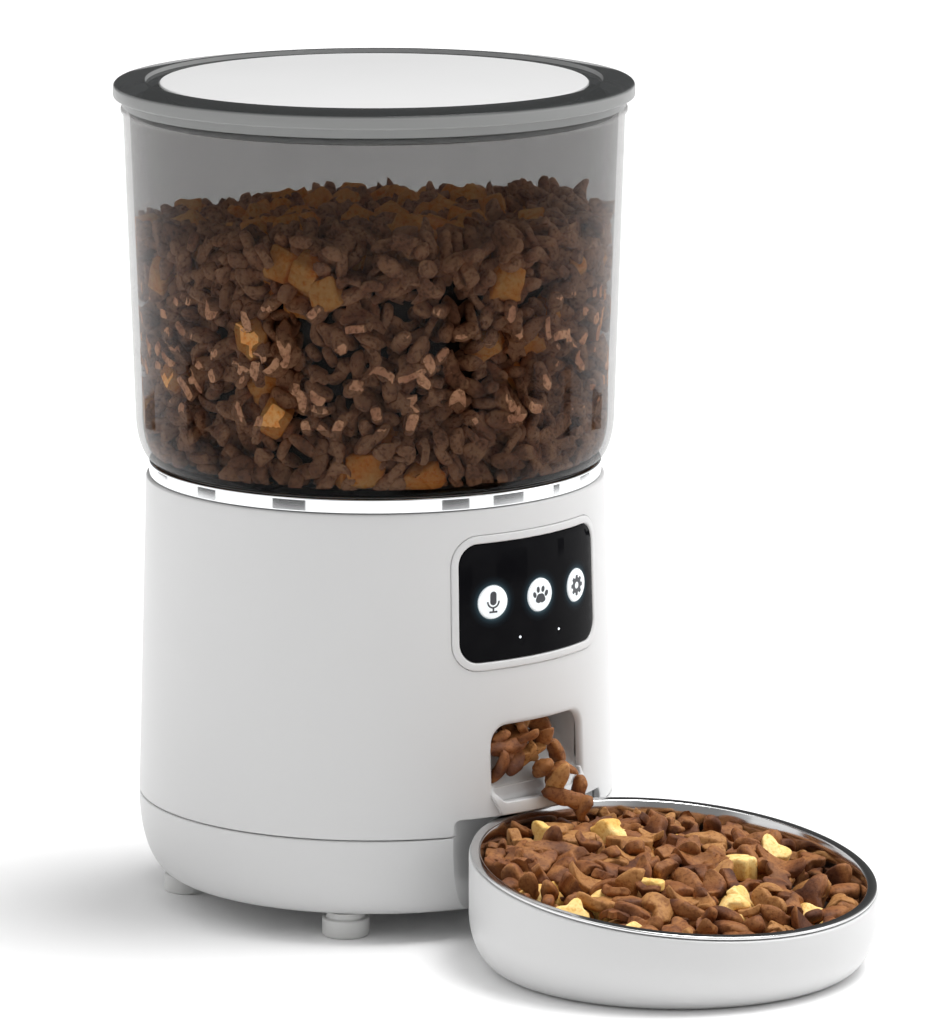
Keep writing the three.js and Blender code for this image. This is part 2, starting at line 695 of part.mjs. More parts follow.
// Barrel socket through the rear wall, with its contact pin at the bottom of the bore.
function dcInlet() {
  const { height, radius, bore, pin, depth } = INLET;
  const face = housingRadius(height) + 0.3;
  const body = join(
    frontBar(radius, 80, face, height),
    box([-7, -86, height - radius], [7, -76, height + radius]),
  );
  const bored = cut(body, frontBar(bore, face - depth, 100, height, 12));
  const contact = frontBar(pin, face - depth - 1, face - depth / 2, height, 8);
  return join(bored, contact).rotateZ(Math.PI);
}

// ---------------------------------------------------------------- bowl and tray

// Everything above the tilted rim plane, lowered along its normal by a drop.
function aboveRim(drop) {
  const block = box([-120, -120, -drop], [120, 120, 80]);
  return block.rotateX(RIM_TILT).translate(0, 0, RIM_HEIGHT);
}

function bowlTray() {
  const { width, height } = TRAY_CORNER;
  const flat = BOWL_RADIUS - width;
  const shell = revolve([
    [0, 0],
    [flat, 0],
    ...corner(flat, height, width, height, -90, 0),
    [BOWL_RADIUS, 60],
    [BOWL_RADIUS - WALL, 60],
    ...corner(flat, height, width - WALL, height - WALL, 0, -90, 3),
    [0, WALL],
  ]);
  const tongue = box(
    [-TONGUE.halfWidth, BOWL_RADIUS - 4, TONGUE.bottom],
    [TONGUE.halfWidth, BOWL_RADIUS + TONGUE.reach, TONGUE.top],
  );
  return join(cut(shell, aboveRim(0.5)), tongue);
}

function steelBowl() {
  const { inner, outer, thickness } = RIM_FLANGE;
  const side = inner - 0.5;
  const { width, height } = BOWL_CORNER;
  const flat = side - width;
  const lower = (thinner) => (
    corner(flat, height - BOWL_DEPTH, width - thinner, height - thinner, -90, 0)
  );
  return revolve([
    [0, -BOWL_DEPTH],
    ...lower(0),
    [side, -0.1],
    [outer, -0.1],
    [outer, thickness - 0.3],
    [outer - 0.4, thickness],
    [inner + 0.3, thickness],
    [side - STEEL, thickness - 0.8],
    ...lower(STEEL).reverse(),
    [0, -BOWL_DEPTH + STEEL],
  ]).rotateX(RIM_TILT).translate(0, 0, RIM_HEIGHT);
}

// ---------------------------------------------------------------- assembly

const m = materials;

const lid = new THREE.Group();
lid.add(
  part('lid_ring', lidRing(), m.smoke),
  part('lid_panel', lidPanel(), m.whiteGloss),
  part('lid_seal', lidSeal(), m.silicone),
);

const hopper = new THREE.Group();
hopper.add(part('hopper_tank', hopperTank(), m.smoke), lid);

const shells = new THREE.Group();
shells.add(
  part('chrome_ring', chromeRing(), m.chrome),
  part('hopper_seat', hopperSeat(), m.whiteGloss),
  part('upper_housing', upperHousing(), m.whiteGloss),
  part('base_shell', baseShell(), m.whiteGloss),
  part('battery_cover', batteryCover(), m.whiteSatin),
  part('battery_contact_left', batteryContact(-1), m.brass),
  part('battery_contact_right', batteryContact(1), m.brass),
);
CORNER_NAMES.forEach((place, index) => {
  const pad = part(`foot_${place}`, foot(), m.rubber);
  pad.position.set(...around(FOOT.circle, FOOT.angles[index]), 0);
  const screw = part(`base_screw_${place}`, baseScrew(), m.motorSteel);
  screw.position.set(...around(SCREW.circle, SCREW.angles[index]), 0);
  shells.add(pad, screw);
});

const panel = new THREE.Group();
panel.add(
  part('panel_bezel', panelBezel(), m.whiteGloss),
  part('panel_fascia', panelFascia(), m.blackGloss),
  part('panel_board', panelBoard(), m.board),
  part('indicator_lens_left', indicatorLens(), m.keyWhite, -LENS_ANGLE),
  part('indicator_lens_right', indicatorLens(), m.keyWhite, LENS_ANGLE),
);
const keys = { record: -KEY_ANGLE, feed: 0, settings: KEY_ANGLE };
Object.entries(keys).forEach(([use, angle]) => {
  panel.add(
    part(`${use}_button`, key(), m.keyWhite, angle),
    part(`${use}_switch`, tactSwitch(), m.blackPlastic, angle),
  );
});

const dispenser = new THREE.Group();
dispenser.add(
  part('dispenser_cup', dispenserCup(), m.whiteSatin),
  part('portion_baffle', portionBaffle(), m.whiteSatin),
  part('portion_rotor', portionRotor(), m.silicone),
  part('rotor_shaft', post(SHAFT_RADIUS, 97, 147.6), m.motorSteel),
  part('shaft_bush', tube(SHAFT_RADIUS + 0.25, 5.3, 110.2, 114.6, SMALL_SIDES), m.brass),
  part('rotor_gear', gear(ROTOR_TEETH, 90, SHAFT_RADIUS + GAP, GEAR_BOTTOM, GEAR_TOP), m.nylon),
  part('gear_plate', gearPlate(), m.whiteSatin),
  part('chute', chute(), m.whiteSatin),
  part('outlet_spout', outletSpout(), m.whiteGloss),
);

const drive = new THREE.Group();
drive.position.y = DRIVE_DISTANCE;
const halfTooth = 180 / PINION_TEETH;
drive.add(
  part(
    'drive_pinion',
    gear(PINION_TEETH, 90 + halfTooth, PINION_SHAFT_RADIUS + GAP, 103, 110), m.nylon,
  ),
  part('pinion_shaft', post(PINION_SHAFT_RADIUS, PLATE_BOTTOM, 110), m.motorSteel),
  part('gearhead', gearhead(), m.motorSteel),
  part('motor_can', motorCan(), m.motorSteel),
);
dispenser.add(drive);

const electrics = new THREE.Group();
electrics.add(
  part('main_board', mainBoard(), m.board),
  part('speaker', speaker(), m.blackPlastic),
  part('dc_inlet', dcInlet(), m.blackPlastic),
);

const dish = new THREE.Group();
dish.position.y = -BOWL_DISTANCE;
dish.add(
  part('bowl_tray', bowlTray(), m.whiteGloss),
  part('steel_bowl', steelBowl(), m.steel),
);

const feeder = new THREE.Group();
feeder.position.y = AXIS_Y;
feeder.add(hopper, shells, panel, dispenser, electrics, dish);

export default feeder;
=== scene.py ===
import math

import bmesh
import bpy
import numpy as np
from mathutils import Matrix, Vector, geometry, kdtree


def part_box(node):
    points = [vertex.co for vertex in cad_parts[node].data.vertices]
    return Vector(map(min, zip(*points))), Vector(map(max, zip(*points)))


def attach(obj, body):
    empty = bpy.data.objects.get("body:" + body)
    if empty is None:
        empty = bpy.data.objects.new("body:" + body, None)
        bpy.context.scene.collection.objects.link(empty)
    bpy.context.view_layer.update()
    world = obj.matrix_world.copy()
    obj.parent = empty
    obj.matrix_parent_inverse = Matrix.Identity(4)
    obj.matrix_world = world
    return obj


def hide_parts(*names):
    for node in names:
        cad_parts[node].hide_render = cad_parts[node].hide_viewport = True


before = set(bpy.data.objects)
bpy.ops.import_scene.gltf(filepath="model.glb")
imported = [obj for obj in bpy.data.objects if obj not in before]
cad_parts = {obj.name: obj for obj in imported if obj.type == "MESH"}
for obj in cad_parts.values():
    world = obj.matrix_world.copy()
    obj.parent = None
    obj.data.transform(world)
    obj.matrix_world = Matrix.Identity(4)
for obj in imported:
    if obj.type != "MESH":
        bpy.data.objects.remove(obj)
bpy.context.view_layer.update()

# ------------------------------------------------------------------ frame and driving sizes
# Lengths are in millimetres from the body's axis, with the front towards -Y, and become
# metres in the row frame as they are placed.

MM = 0.001
AXIS_Y = sum(corner.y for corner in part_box("lid_ring")) / 2 / MM


def span(node):
    """Lowest and highest corner of a CAD node, in millimetres from the body's axis."""
    low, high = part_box(node)
    shift = np.array([0, AXIS_Y, 0])
    return np.array(low) / MM - shift, np.array(high) / MM - shift


LID_RADIUS = span("lid_ring")[1][0]
LIP_TOP = span("lid_ring")[1][2]
LID_TOP = LIP_TOP - 1.4
DISC_TOP = span("lid_panel")[1][2]
LID_BOTTOM = span("hopper_tank")[1][2] + 0.3
PANEL_DISC_RADIUS = span("lid_panel")[1][0]
HOPPER_BOTTOM = span("chrome_ring")[1][2] + 0.4
HOPPER_TOP = span("hopper_tank")[1][2]
HOPPER_RADIUS_TOP = 94.8
HOPPER_RADIUS_LOW = 91.1
HOPPER_WALL = 2.5
HOPPER_CORNER_WIDTH = 7.1
HOPPER_CORNER_RISE = 18
HOPPER_INNER_WIDTH = 4.6
HOPPER_INNER_RISE = 15.4
HOPPER_SLOPE = 0.0317
NECK_RADIUS = 46
FOOD_LEVEL = 262

HOUSING_BOTTOM = span("upper_housing")[0][2]
HOUSING_TOP = span("chrome_ring")[0][2] - 0.3
HOUSING_RADIUS_LOW = span("upper_housing")[1][0]
HOUSING_RADIUS_TOP = 87.4
HOUSING_WALL = 2.5
BASE_BOTTOM = span("base_shell")[0][2]
BASE_RADIUS = span("base_shell")[1][0]
BASE_TOP = HOUSING_BOTTOM - 0.4
DECK_TOP = span("chrome_ring")[1][2]

PANEL_HEIGHT = sum(corner[2] for corner in span("panel_fascia")) / 2
FASCIA_HALF_WIDTH = span("panel_fascia")[1][0]
FASCIA_HALF_HEIGHT = (span("panel_fascia")[1][2] - span("panel_fascia")[0][2]) / 2
KEY_ANGLES = (-14.4, 0, 14.4)
KEY_RADIUS = 6.35
HALO_RADIUS = 10
LENS_ANGLE = 6.6
LENS_HEIGHT = sum(corner[2] for corner in span("indicator_lens_left")) / 2

OUTLET_HALF_WIDTH = 23.5
OUTLET_BOTTOM = 51
OUTLET_TOP = 81
NOTCH_RADIUS = 85.5
NOTCH_TOP = 46.9
BOWL_Y = sum(corner[1] for corner in span("steel_bowl")) / 2
TRAY_RADIUS = span("bowl_tray")[1][0]
RIM_TILT = math.radians(7.2)
RIM_HEIGHT = 36.0
INLET_HEIGHT = sum(corner[2] for corner in span("dc_inlet")) / 2

CAMERA_AZIMUTH = -44.7
CAMERA_ELEVATION = 11.3
CAMERA_DISTANCE = 2500
CAMERA_LENS = 230.1
CAMERA_AIM = (25.9, -25.7, 147.2)


def place(x, y, z):
    return Vector((x, y + AXIS_Y, z)) * MM


def housing_radius(height):
    share = (height - HOUSING_BOTTOM) / (HOUSING_TOP - HOUSING_BOTTOM)
    return HOUSING_RADIUS_LOW + share * (HOUSING_RADIUS_TOP - HOUSING_RADIUS_LOW)


def on_wall(angle, height, proud=0.0):
    """Place on the housing's wall, at an angle from the front in degrees."""
    turn, radius = math.radians(angle), housing_radius(height) + proud
    return place(radius * math.sin(turn), -radius * math.cos(turn), height)


REFERENCE_RADIUS = housing_radius(100)


def hopper_radius(height):
    low = HOPPER_BOTTOM + HOPPER_CORNER_RISE
    share = (height - low) / (HOPPER_TOP - low)
    return HOPPER_RADIUS_LOW + share * (HOPPER_RADIUS_TOP - HOPPER_RADIUS_LOW)


# ------------------------------------------------------------------ materials


class Graph:
    """Node graph of a material or world, fed by numbers, colours and other nodes' sockets."""

    def __init__(self, owner):
        owner.use_nodes = True
        self.owner, self.nodes = owner, owner.node_tree.nodes
        self.shader = self.nodes.get("Principled BSDF") or self.nodes["Background"]

    def feed(self, node, inputs):
        for key, value in inputs.items():
            if isinstance(value, bpy.types.NodeSocket):
                self.owner.node_tree.links.new(value, node.inputs[key])
            else:
                node.inputs[key].default_value = value

    def add(self, kind, inputs, output=0, **settings):
        node = self.nodes.new("ShaderNode" + kind)
        for key, value in settings.items():
            setattr(node, key, value)
        self.feed(node, inputs)
        return node.outputs[output]

    def noise(self, scale, detail=3.0, roughness=0.5, vector=None):
        return self.add("TexNoise", {
            "Vector": vector or self.add("TexCoord", {}, "Object"),
            "Scale": scale, "Detail": detail, "Roughness": roughness}, "Fac")

    def ramp(self, source, stops):
        color = self.add("ValToRGB", {"Fac": source}, "Color")
        elements = color.node.color_ramp.elements
        while len(elements) < len(stops):
            elements.new(0.5)
        for element, (position, tone) in zip(elements, stops):
            element.position = position
            element.color = (*tone, 1.0)
        return color

    def spread(self, source, low, high, start=0.0, end=1.0):
        return self.add("MapRange", {
            "Value": source, "From Min": start, "From Max": end, "To Min": low, "To Max": high})

    def math(self, operation, *sources):
        return self.add("Math", dict(enumerate(sources)), operation=operation)

    def bump(self, source, distance, strength=1.0):
        normal = self.add("Bump", {"Height": source, "Distance": distance, "Strength": strength})
        self.feed(self.shader, {"Normal": normal})

    def finish(self, **inputs):
        """Sets the shader's inputs, written with _ for each space, and gives the material."""
        self.feed(self.shader, {key.replace("_", " "): value for key, value in inputs.items()})
        return self.owner


def material_graph(name):
    return Graph(bpy.data.materials.new(name))


def dimmed(color, share):
    return tuple(channel * share for channel in color)


def plastic(name, color, roughness, spread=0.04, grain=0.0):
    """Moulded plastic: a faint flow mottle in colour and gloss, and a fine surface grain."""
    graph = material_graph(name)
    flow = graph.noise(22, 4)
    if grain:
        graph.bump(graph.noise(2500, 2), grain * MM)
    return graph.finish(
        Base_Color=graph.ramp(flow, [(0.3, dimmed(color, 1 - spread)), (0.7, color)]),
        Roughness=graph.spread(flow, roughness * 0.97, roughness * 1.03))


def metal(name, color, roughness, brushed=(40, 40, 40), streak=0.0):
    """Metal with slightly uneven polish. brushed is (x, y, z) noise scales for fine lines."""
    graph = material_graph(name)
    stretched = graph.add("Mapping", {
        "Vector": graph.add("TexCoord", {}, "Object"), "Scale": brushed})
    lines = graph.noise(1.0, 4.0, vector=stretched)
    if streak:
        graph.bump(lines, streak * MM)
    return graph.finish(
        Metallic=1.0,
        Base_Color=graph.ramp(lines, [(0.35, dimmed(color, 0.94)), (0.65, color)]),
        Roughness=graph.spread(lines, roughness * 0.8, roughness * 1.3))


def smoked(name, tint, gloss_roughness, milk_and_facing_shade=None):
    """Clear smoked plastic: it dims what is behind it and mirrors the studio at its surface.

    The last argument is (share, colour of upright faces, colour of level faces) of a milky part,
    whose colour by facing is painted light: upright faces painted lighter than level ones, as the
    studio's light falls on the sides.
    """
    graph = material_graph(name)
    graph.nodes.remove(graph.shader)
    shade = graph.ramp(graph.noise(9, 3), [(0.35, dimmed(tint, 0.97)), (0.65, tint)])
    body = graph.add("BsdfTransparent", {"Color": shade})
    gloss = graph.add("BsdfGlossy", {"Color": (1, 1, 1, 1), "Roughness": gloss_roughness})
    if milk_and_facing_shade:
        share, side_color, top_color = milk_and_facing_shade
        # Painted light: the milky part's colour follows the face's tilt, upright faces painted
        # lighter than level ones.
        tilt = graph.add("SeparateXYZ", {"Vector": graph.add("TexCoord", {}, "Normal")}, "Z")
        tone = graph.ramp(tilt, [(0.25, side_color), (0.8, top_color)])
        milk = graph.add("BsdfDiffuse", {"Color": tone})
        body = graph.add("MixShader", {0: share, 1: body, 2: milk})
    grazing = graph.math("POWER", graph.add("LayerWeight", {"Blend": 0.5}, "Facing"), 4.0)
    mirrored = graph.math("MULTIPLY_ADD", grazing, 0.38, 0.004)
    surface = graph.add("MixShader", {0: mirrored, 1: body, 2: gloss})
    graph.feed(graph.nodes["Material Output"], {"Surface": surface})
    return graph.owner


def glowing(name, color, strength):
    """Translucent white plastic lit from behind, with a faint mottle."""
    graph = material_graph(name)
    tint = graph.ramp(graph.noise(120, 2), [(0.3, dimmed(color, 0.93)), (0.7, color)])
    return graph.finish(
        Base_Color=tint, Emission_Color=tint, Emission_Strength=strength, Roughness=0.3)


WHITE = plastic("white_gloss", (0.625, 0.625, 0.625), 0.34, spread=0.006, grain=0.003)
WHITE_SATIN = plastic("white_satin", (0.68, 0.68, 0.675), 0.45, spread=0.03, grain=0.012)
LID_WHITE = plastic("lid_white", (0.66, 0.66, 0.66), 0.35, spread=0.01, grain=0.004)
FOOT_WHITE = plastic("foot_white", (0.64, 0.64, 0.63), 0.55, spread=0.03, grain=0.02)
BLACK_MATT = plastic("black_matt", (0.025, 0.025, 0.027), 0.5, spread=0.15, grain=0.02)
SILICONE = plastic("silicone", (0.62, 0.64, 0.64), 0.6, spread=0.04, grain=0.01)
NYLON = plastic("nylon", (0.78, 0.74, 0.62), 0.42, spread=0.05, grain=0.01)
BOARD = plastic("solder_mask", (0.015, 0.12, 0.05), 0.35, spread=0.2)
SYMBOL = plastic("symbol_ink", (0.035, 0.04, 0.05), 0.4, spread=0.2)
SMOKE = smoked("smoked_clear", (0.635, 0.632, 0.63), 0.03)
# The lid's milky part is painted lighter on its upright sides than on its top: painted light for
# the softboxes' light on its sides.
SMOKE_LID = smoked("smoked_lid", (0.30, 0.305, 0.31), 0.06,
                   milk_and_facing_shade=(0.6, (0.42, 0.425, 0.42), (0.045, 0.047, 0.047)))
CHROME = metal("chrome", (0.86, 0.87, 0.88), 0.05)
STEEL = metal("polished_steel", (0.72, 0.72, 0.72), 0.12, brushed=(60, 60, 900), streak=0.002)
PLAIN_STEEL = metal("plain_steel", (0.55, 0.56, 0.57), 0.3, brushed=(90, 90, 20))
BRASS = metal("brass", (0.70, 0.52, 0.24), 0.28)
KEY_GLOW = glowing("key_glow", (0.80, 0.84, 0.86), 0.28)
LENS_GLOW = glowing("lens_glow", (0.9, 0.95, 1.0), 0.7)

# ------------------------------------------------------------------ mesh helpers


def add_object(name, data):
    """Links a new object with this data into the scene."""
    thing = bpy.data.objects.new(name, data)
    bpy.context.scene.collection.objects.link(thing)
    return thing


def shade(mesh, sharp):
    """Shades the mesh smooth, broken at edges sharper than an angle in degrees."""
    mesh.shade_smooth()
    mesh.set_sharp_from_angle(angle=math.radians(sharp))


def finished(name, mesh, material, body, stands_for=(), slot=None, sharp=35):
    """Adds the mesh as a piece with its material, body and the CAD nodes it stands for."""
    mesh.materials.clear()
    mesh.materials.append(material)
    shade(mesh, sharp)
    piece = add_object(name, mesh)
    if body:
        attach(piece, body)
    if stands_for:
        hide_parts(*stands_for)
    return piece


def mesh_from(name, vertices, faces):
    """Mesh of the vertices and faces, with vertices at the same place made one."""
    mesh = bpy.data.meshes.new(name)
    mesh.from_pydata([tuple(vertex) for vertex in vertices], [], [tuple(face) for face in faces])
    work = bmesh.new()
    work.from_mesh(mesh)
    bmesh.ops.remove_doubles(work, verts=work.verts, dist=2e-7)
    work.to_mesh(mesh)
    work.free()
    mesh.validate()
    mesh.update()
    return mesh


def rounded(points, steps=5, closed=True):
    """A polyline's (a, b, radius) corners turned into arcs of those radii."""
    outline = []
    for index, (a, b, radius) in enumerate(points):
        here = np.array([a, b], float)
        at_end = not closed and index in (0, len(points) - 1)
        if not radius or at_end:
            outline.append(here)
            continue
        before = np.array(points[index - 1][:2], float) - here
        after = np.array(points[(index + 1) % len(points)][:2], float) - here
        lengths = np.linalg.norm(before), np.linalg.norm(after)
        before, after = before / lengths[0], after / lengths[1]
        half = 0.5 * math.acos(np.clip(before @ after, -1, 1))
        if half > math.radians(89):
            outline.append(here)
            continue
        reach = min(radius / math.tan(half), 0.48 * lengths[0], 0.48 * lengths[1])
        bisector = (before + after) / np.linalg.norm(before + after)
        centre = here + bisector * reach / math.cos(half)
        start, end = here + before * reach - centre, here + after * reach - centre
        turn = math.acos(np.clip(start @ end / (start @ start), -1, 1))
        for step in range(steps + 1):
            share = step / steps
            weights = math.sin((1 - share) * turn), math.sin(share * turn)
            outline.append(centre + (weights[0] * start + weights[1] * end) / math.sin(turn))
    return outline


def turned(profile, centre=(0, 0), segments=256, closed=True):
    """Vertices and faces of a (radius, height) profile turned about an upright axis.

    profile may be a function of the angle from the front. It runs up the outside and down
    the inside, and either closes on itself or starts and ends on the axis.
    """
    shape = profile if callable(profile) else (lambda angle: profile)
    vertices, count = [], len(shape(0.0))
    for segment in range(segments):
        angle = 2 * math.pi * segment / segments
        for radius, height in shape(angle):
            x, y = radius * math.sin(angle), -radius * math.cos(angle)
            vertices.append(place(x + centre[0], y + centre[1], height))
    faces = []
    for segment in range(segments):
        here, there = segment * count, (segment + 1) % segments * count
        for row in range(count if closed else count - 1):
            up = (row + 1) % count
            faces.append((here + row, there + row, there + up, here + up))
    return vertices, faces


def lathe(name, profile, material, body, centre=(0, 0), segments=256, closed=True, **extra):
    mesh = mesh_from(name, *turned(profile, centre, segments, closed))
    return finished(name, mesh, material, body, **extra)


def carve(piece, cutter_mesh, operation="DIFFERENCE"):
    """Cuts a closed mesh from the piece, or joins it, and keeps the result in the piece."""
    cutter = add_object("cutter", cutter_mesh)
    step = piece.modifiers.new("carve", "BOOLEAN")
    step.operation = operation
    step.solver = "EXACT"
    step.object = cutter
    graph = bpy.context.evaluated_depsgraph_get()
    result = bpy.data.meshes.new_from_object(piece.evaluated_get(graph))
    piece.modifiers.clear()
    materials = list(piece.data.materials)
    piece.data = result
    result.materials.clear()
    for material in materials:
        result.materials.append(material)
    bpy.data.objects.remove(cutter)


def block(low, high):
    """Closed box mesh between two corners, in millimetres from the body's axis."""
    corners = [
        place(x, y, z)
        for x in (low[0], high[0]) for y in (low[1], high[1]) for z in (low[2], high[2])
    ]
    faces = [(0, 1, 3, 2), (4, 6, 7, 5), (0, 4, 5, 1), (2, 3, 7, 6), (0, 2, 6, 4), (1, 5, 7, 3)]
    return mesh_from("block", corners, faces)


def drum(radius, bottom, top, centre=(0, 0), segments=96):
    profile = [(0, bottom), (radius, bottom), (radius, top), (0, top)]
    return mesh_from("drum", *turned(profile, centre, segments, closed=False))


def rounded_rectangle(half_width, half_height, radius, middle=0.0, steps=8, gap=2.5):
    """Dense counter-clockwise outline of a rounded rectangle."""
    w, h = half_width, half_height
    corners = [(w, middle - h), (w, middle + h), (-w, middle + h), (-w, middle - h)]
    return dense(rounded([(x, z, radius) for x, z in corners], steps), gap)


def dense(outline, gap, closed=True):
    """The outline with its long edges split into pieces no longer than the gap."""
    points = []
    ends = list(outline[1:]) + ([outline[0]] if closed else [])
    for start, end in zip(outline, ends):
        pieces = max(1, math.ceil(np.linalg.norm(np.subtract(end, start)) / gap))
        for piece in range(pieces):
            points.append(np.add(start, np.subtract(end, start) * piece / pieces))
    if not closed:
        points.append(np.array(outline[-1], float))
    return np.array(points)


def right_hand(path, closed=True):
    """Unit normals to the right of a path's direction of travel."""
    if closed:
        tangent = np.roll(path, -1, 0) - np.roll(path, 1, 0)
    else:
        tangent = np.gradient(path, axis=0)
    tangent /= np.linalg.norm(tangent, axis=1)[:, None]
    return np.stack([tangent[:, 1], -tangent[:, 0]], 1)


def inside(points, edges):
    """Even-odd test of points against a set of edges, each a pair of 2-D points."""
    hits = np.zeros(len(points), int)
    for (x0, z0), (x1, z1) in edges:
        if x0 == x1:
            continue
        crosses = (points[:, 0] < max(x0, x1)) & (points[:, 0] >= min(x0, x1))
        height = z0 + (points[:, 0] - x0) * (z1 - z0) / (x1 - x0)
        hits += crosses & (height > points[:, 1])
    return hits % 2 == 1


FILLET_STEPS = 5


def skin(name, loops, surface, thickness, spacing=4.0, period=None):
    """Mesh of a curved plate of even thickness with rounded edges.

    loops are (path, closed, fillet) outlines in the unrolled (along, up) plane, with the material
    to their left: the outer edge runs counter-clockwise and each hole clockwise. surface maps
    (along, up, inset) to a place. With a period the plate closes on itself, and its two open
    loops run along its bottom and back along its top.
    """
    rims = []
    for path, closed, fillet in loops:
        normals = right_hand(path, closed)
        rims.append((path - normals * fillet, normals, closed, fillet))
    flat, edges = [], []
    for path, _, closed, _ in rims:
        start = len(flat)
        flat.extend(path)
        count = len(path)
        steps = count if closed else count - 1
        edges += [(start + i, start + (i + 1) % count) for i in range(steps)]
    if period:
        for side in (-period / 2, period / 2):
            ends = [i for i, p in enumerate(flat) if abs(p[0] - side) < 1e-6]
            low, high = sorted(ends, key=lambda i: flat[i][1])
            steps = math.ceil((flat[high][1] - flat[low][1]) / spacing)
            chain = [low]
            for step in range(1, steps):
                flat.append(flat[low] + (flat[high] - flat[low]) * step / steps)
                chain.append(len(flat) - 1)
            chain.append(high)
            edges += list(zip(chain, chain[1:]))
    outline = np.array(flat)
    low, high = outline.min(0), outline.max(0)
    columns = math.ceil((high[0] - low[0]) / spacing)
    rows = math.ceil((high[1] - low[1]) / (spacing * 0.87))
    grid = np.array([
        low + [(c + 0.5 * (r % 2)) * (high[0] - low[0]) / columns, r * (high[1] - low[1]) / rows]
        for r in range(1, rows) for c in range(columns + 1)
    ])
    segments = [(outline[a], outline[b]) for a, b in edges]
    tree = kdtree.KDTree(len(outline))
    for index, point in enumerate(outline):
        tree.insert((*point, 0), index)
    tree.balance()
    clear = np.array([tree.find((*point, 0))[2] > 0.6 * spacing for point in grid], bool)
    grid = grid[clear & inside(grid, segments)] if len(grid) else grid
    everything = np.vstack([outline, grid]) if len(grid) else outline
    result = geometry.delaunay_2d_cdt([Vector(p) for p in everything], edges, [], 0, 1e-7)
    points = np.array([tuple(p) for p in result[0]])
    triangles = np.array(result[2])
    source = {old: new for new, olds in enumerate(result[3]) for old in olds}
    triangles = triangles[inside(points[triangles].mean(1), segments)]
    total = len(points)
    vertices = [surface(*p, 0) for p in points] + [surface(*p, thickness) for p in points]
    faces = [tuple(t) for t in triangles] + [tuple(t[::-1] + total) for t in triangles]
    start = 0
    for path, normals, closed, fillet in rims:
        count = len(path)
        rings = [[source[start + i] for i in range(count)]]
        for step in range(1, FILLET_STEPS + 1):
            turn = 0.5 * math.pi * step / FILLET_STEPS
            ring = path + normals * fillet * math.sin(turn)
            depth = fillet * (1 - math.cos(turn))
            rings.append(range(len(vertices), len(vertices) + count))
            vertices += [surface(*p, depth) for p in ring]
        rings.append(range(len(vertices), len(vertices) + count))
        vertices += [surface(*p, thickness) for p in path + normals * fillet]
        rings.append([source[start + i] + total for i in range(count)])
        for outer, inner in zip(rings, rings[1:]):
            for i in range(count if closed else count - 1):
                j = (i + 1) % count
                faces.append((outer[i], inner[i], inner[j], outer[j]))
        start += count
    return mesh_from(name, vertices, faces)


def housing_surface(proud=0.0):
    """Maps (along, up, inset) onto the housing's wall, along being arc length at the middle."""
    def surface(along, up, inset):
        return on_wall(math.degrees(along / REFERENCE_RADIUS), up, proud - inset)
    return surface


def join_meshes(first, *others):
    """Adds other meshes' geometry to the first piece's mesh."""
    work = bmesh.new()
    work.from_mesh(first.data)
    for other in others:
        work.from_mesh(other)
    work.to_mesh(first.data)
    work.free()
    first.data.update()


def facing(angle, distance, height):
    """Matrix that takes local X, Y, Z to the tangent, up and out of the wall at an angle."""
    turn = math.radians(angle)
    out = (math.sin(turn), -math.cos(turn), 0)
    along = (math.cos(turn), math.sin(turn), 0)
    columns = Matrix((along, (0, 0, 1), out)).transposed().to_4x4()
    return Matrix.Translation((out[0] * distance, out[1] * distance, height)) @ columns


def moved(mesh, matrix):
    """The mesh, made about the body's axis at the origin, moved by a matrix in millimetres."""
    shift = Matrix.Translation((0, AXIS_Y * MM, 0))
    in_metres = matrix.copy()
    in_metres.translation *= MM
    mesh.transform(shift @ in_metres @ shift.inverted())
    mesh.update()
    return mesh


def spun(name, profile, matrix, material, body, segments=64, closed=True, **extra):
    mesh = moved(mesh_from(name, *turned(profile, segments=segments, closed=closed)), matrix)
    return finished(name, mesh, material, body, **extra)


# ------------------------------------------------------------------ lid and hopper
# Profiles are lists of (radius, height, corner radius), and run up the outside.

lid_rim = rounded([
    (87.8, 301, 0.5), (89.8, 301, 0.6), (89.8, LID_BOTTOM, 0.2), (95.2, LID_BOTTOM, 0.4),
    (95.2, 307.8, 0.3), (LID_RADIUS, 307.8, 0.9), (LID_RADIUS, LID_TOP, 1.7),
    (87.3, LIP_TOP, 0.8), (86.4, LIP_TOP, 0.4), (86, 312.6, 0.4), (81.2, 312.6, 0.3),
    (81.2, 310.1, 0.2), (78.5, 310.1, 0.2), (78.5, 308.2, 0.3), (87.8, 308.2, 1),
])
lathe("lid_rim", lid_rim, SMOKE_LID, "lid", stands_for=["lid_ring"], slot="smoked_lid")
disc = rounded([
    (0, 310.4, 0), (PANEL_DISC_RADIUS, 310.4, 0.3), (PANEL_DISC_RADIUS, DISC_TOP, 0.7),
    (0, DISC_TOP, 0),
], closed=False)
lathe("lid_disc", disc, LID_WHITE, "lid", closed=False, stands_for=["lid_panel"],
      slot="gloss_white")
seal = rounded([(90.1, 301.5, 0.4), (91.7, 301.5, 0.7), (91.7, 303.6, 0.7), (90.1, 303.6, 0.4)])
lathe("lid_seal_ring", seal, SILICONE, "lid", stands_for=["lid_seal"], slot="silicone")


def elliptic(radius, height, width, rise, start, end, steps=14):
    corner = []
    for step in range(steps + 1):
        turn = math.radians(start + (end - start) * step / steps)
        corner.append((radius + width * math.cos(turn), height + rise * math.sin(turn)))
    return corner


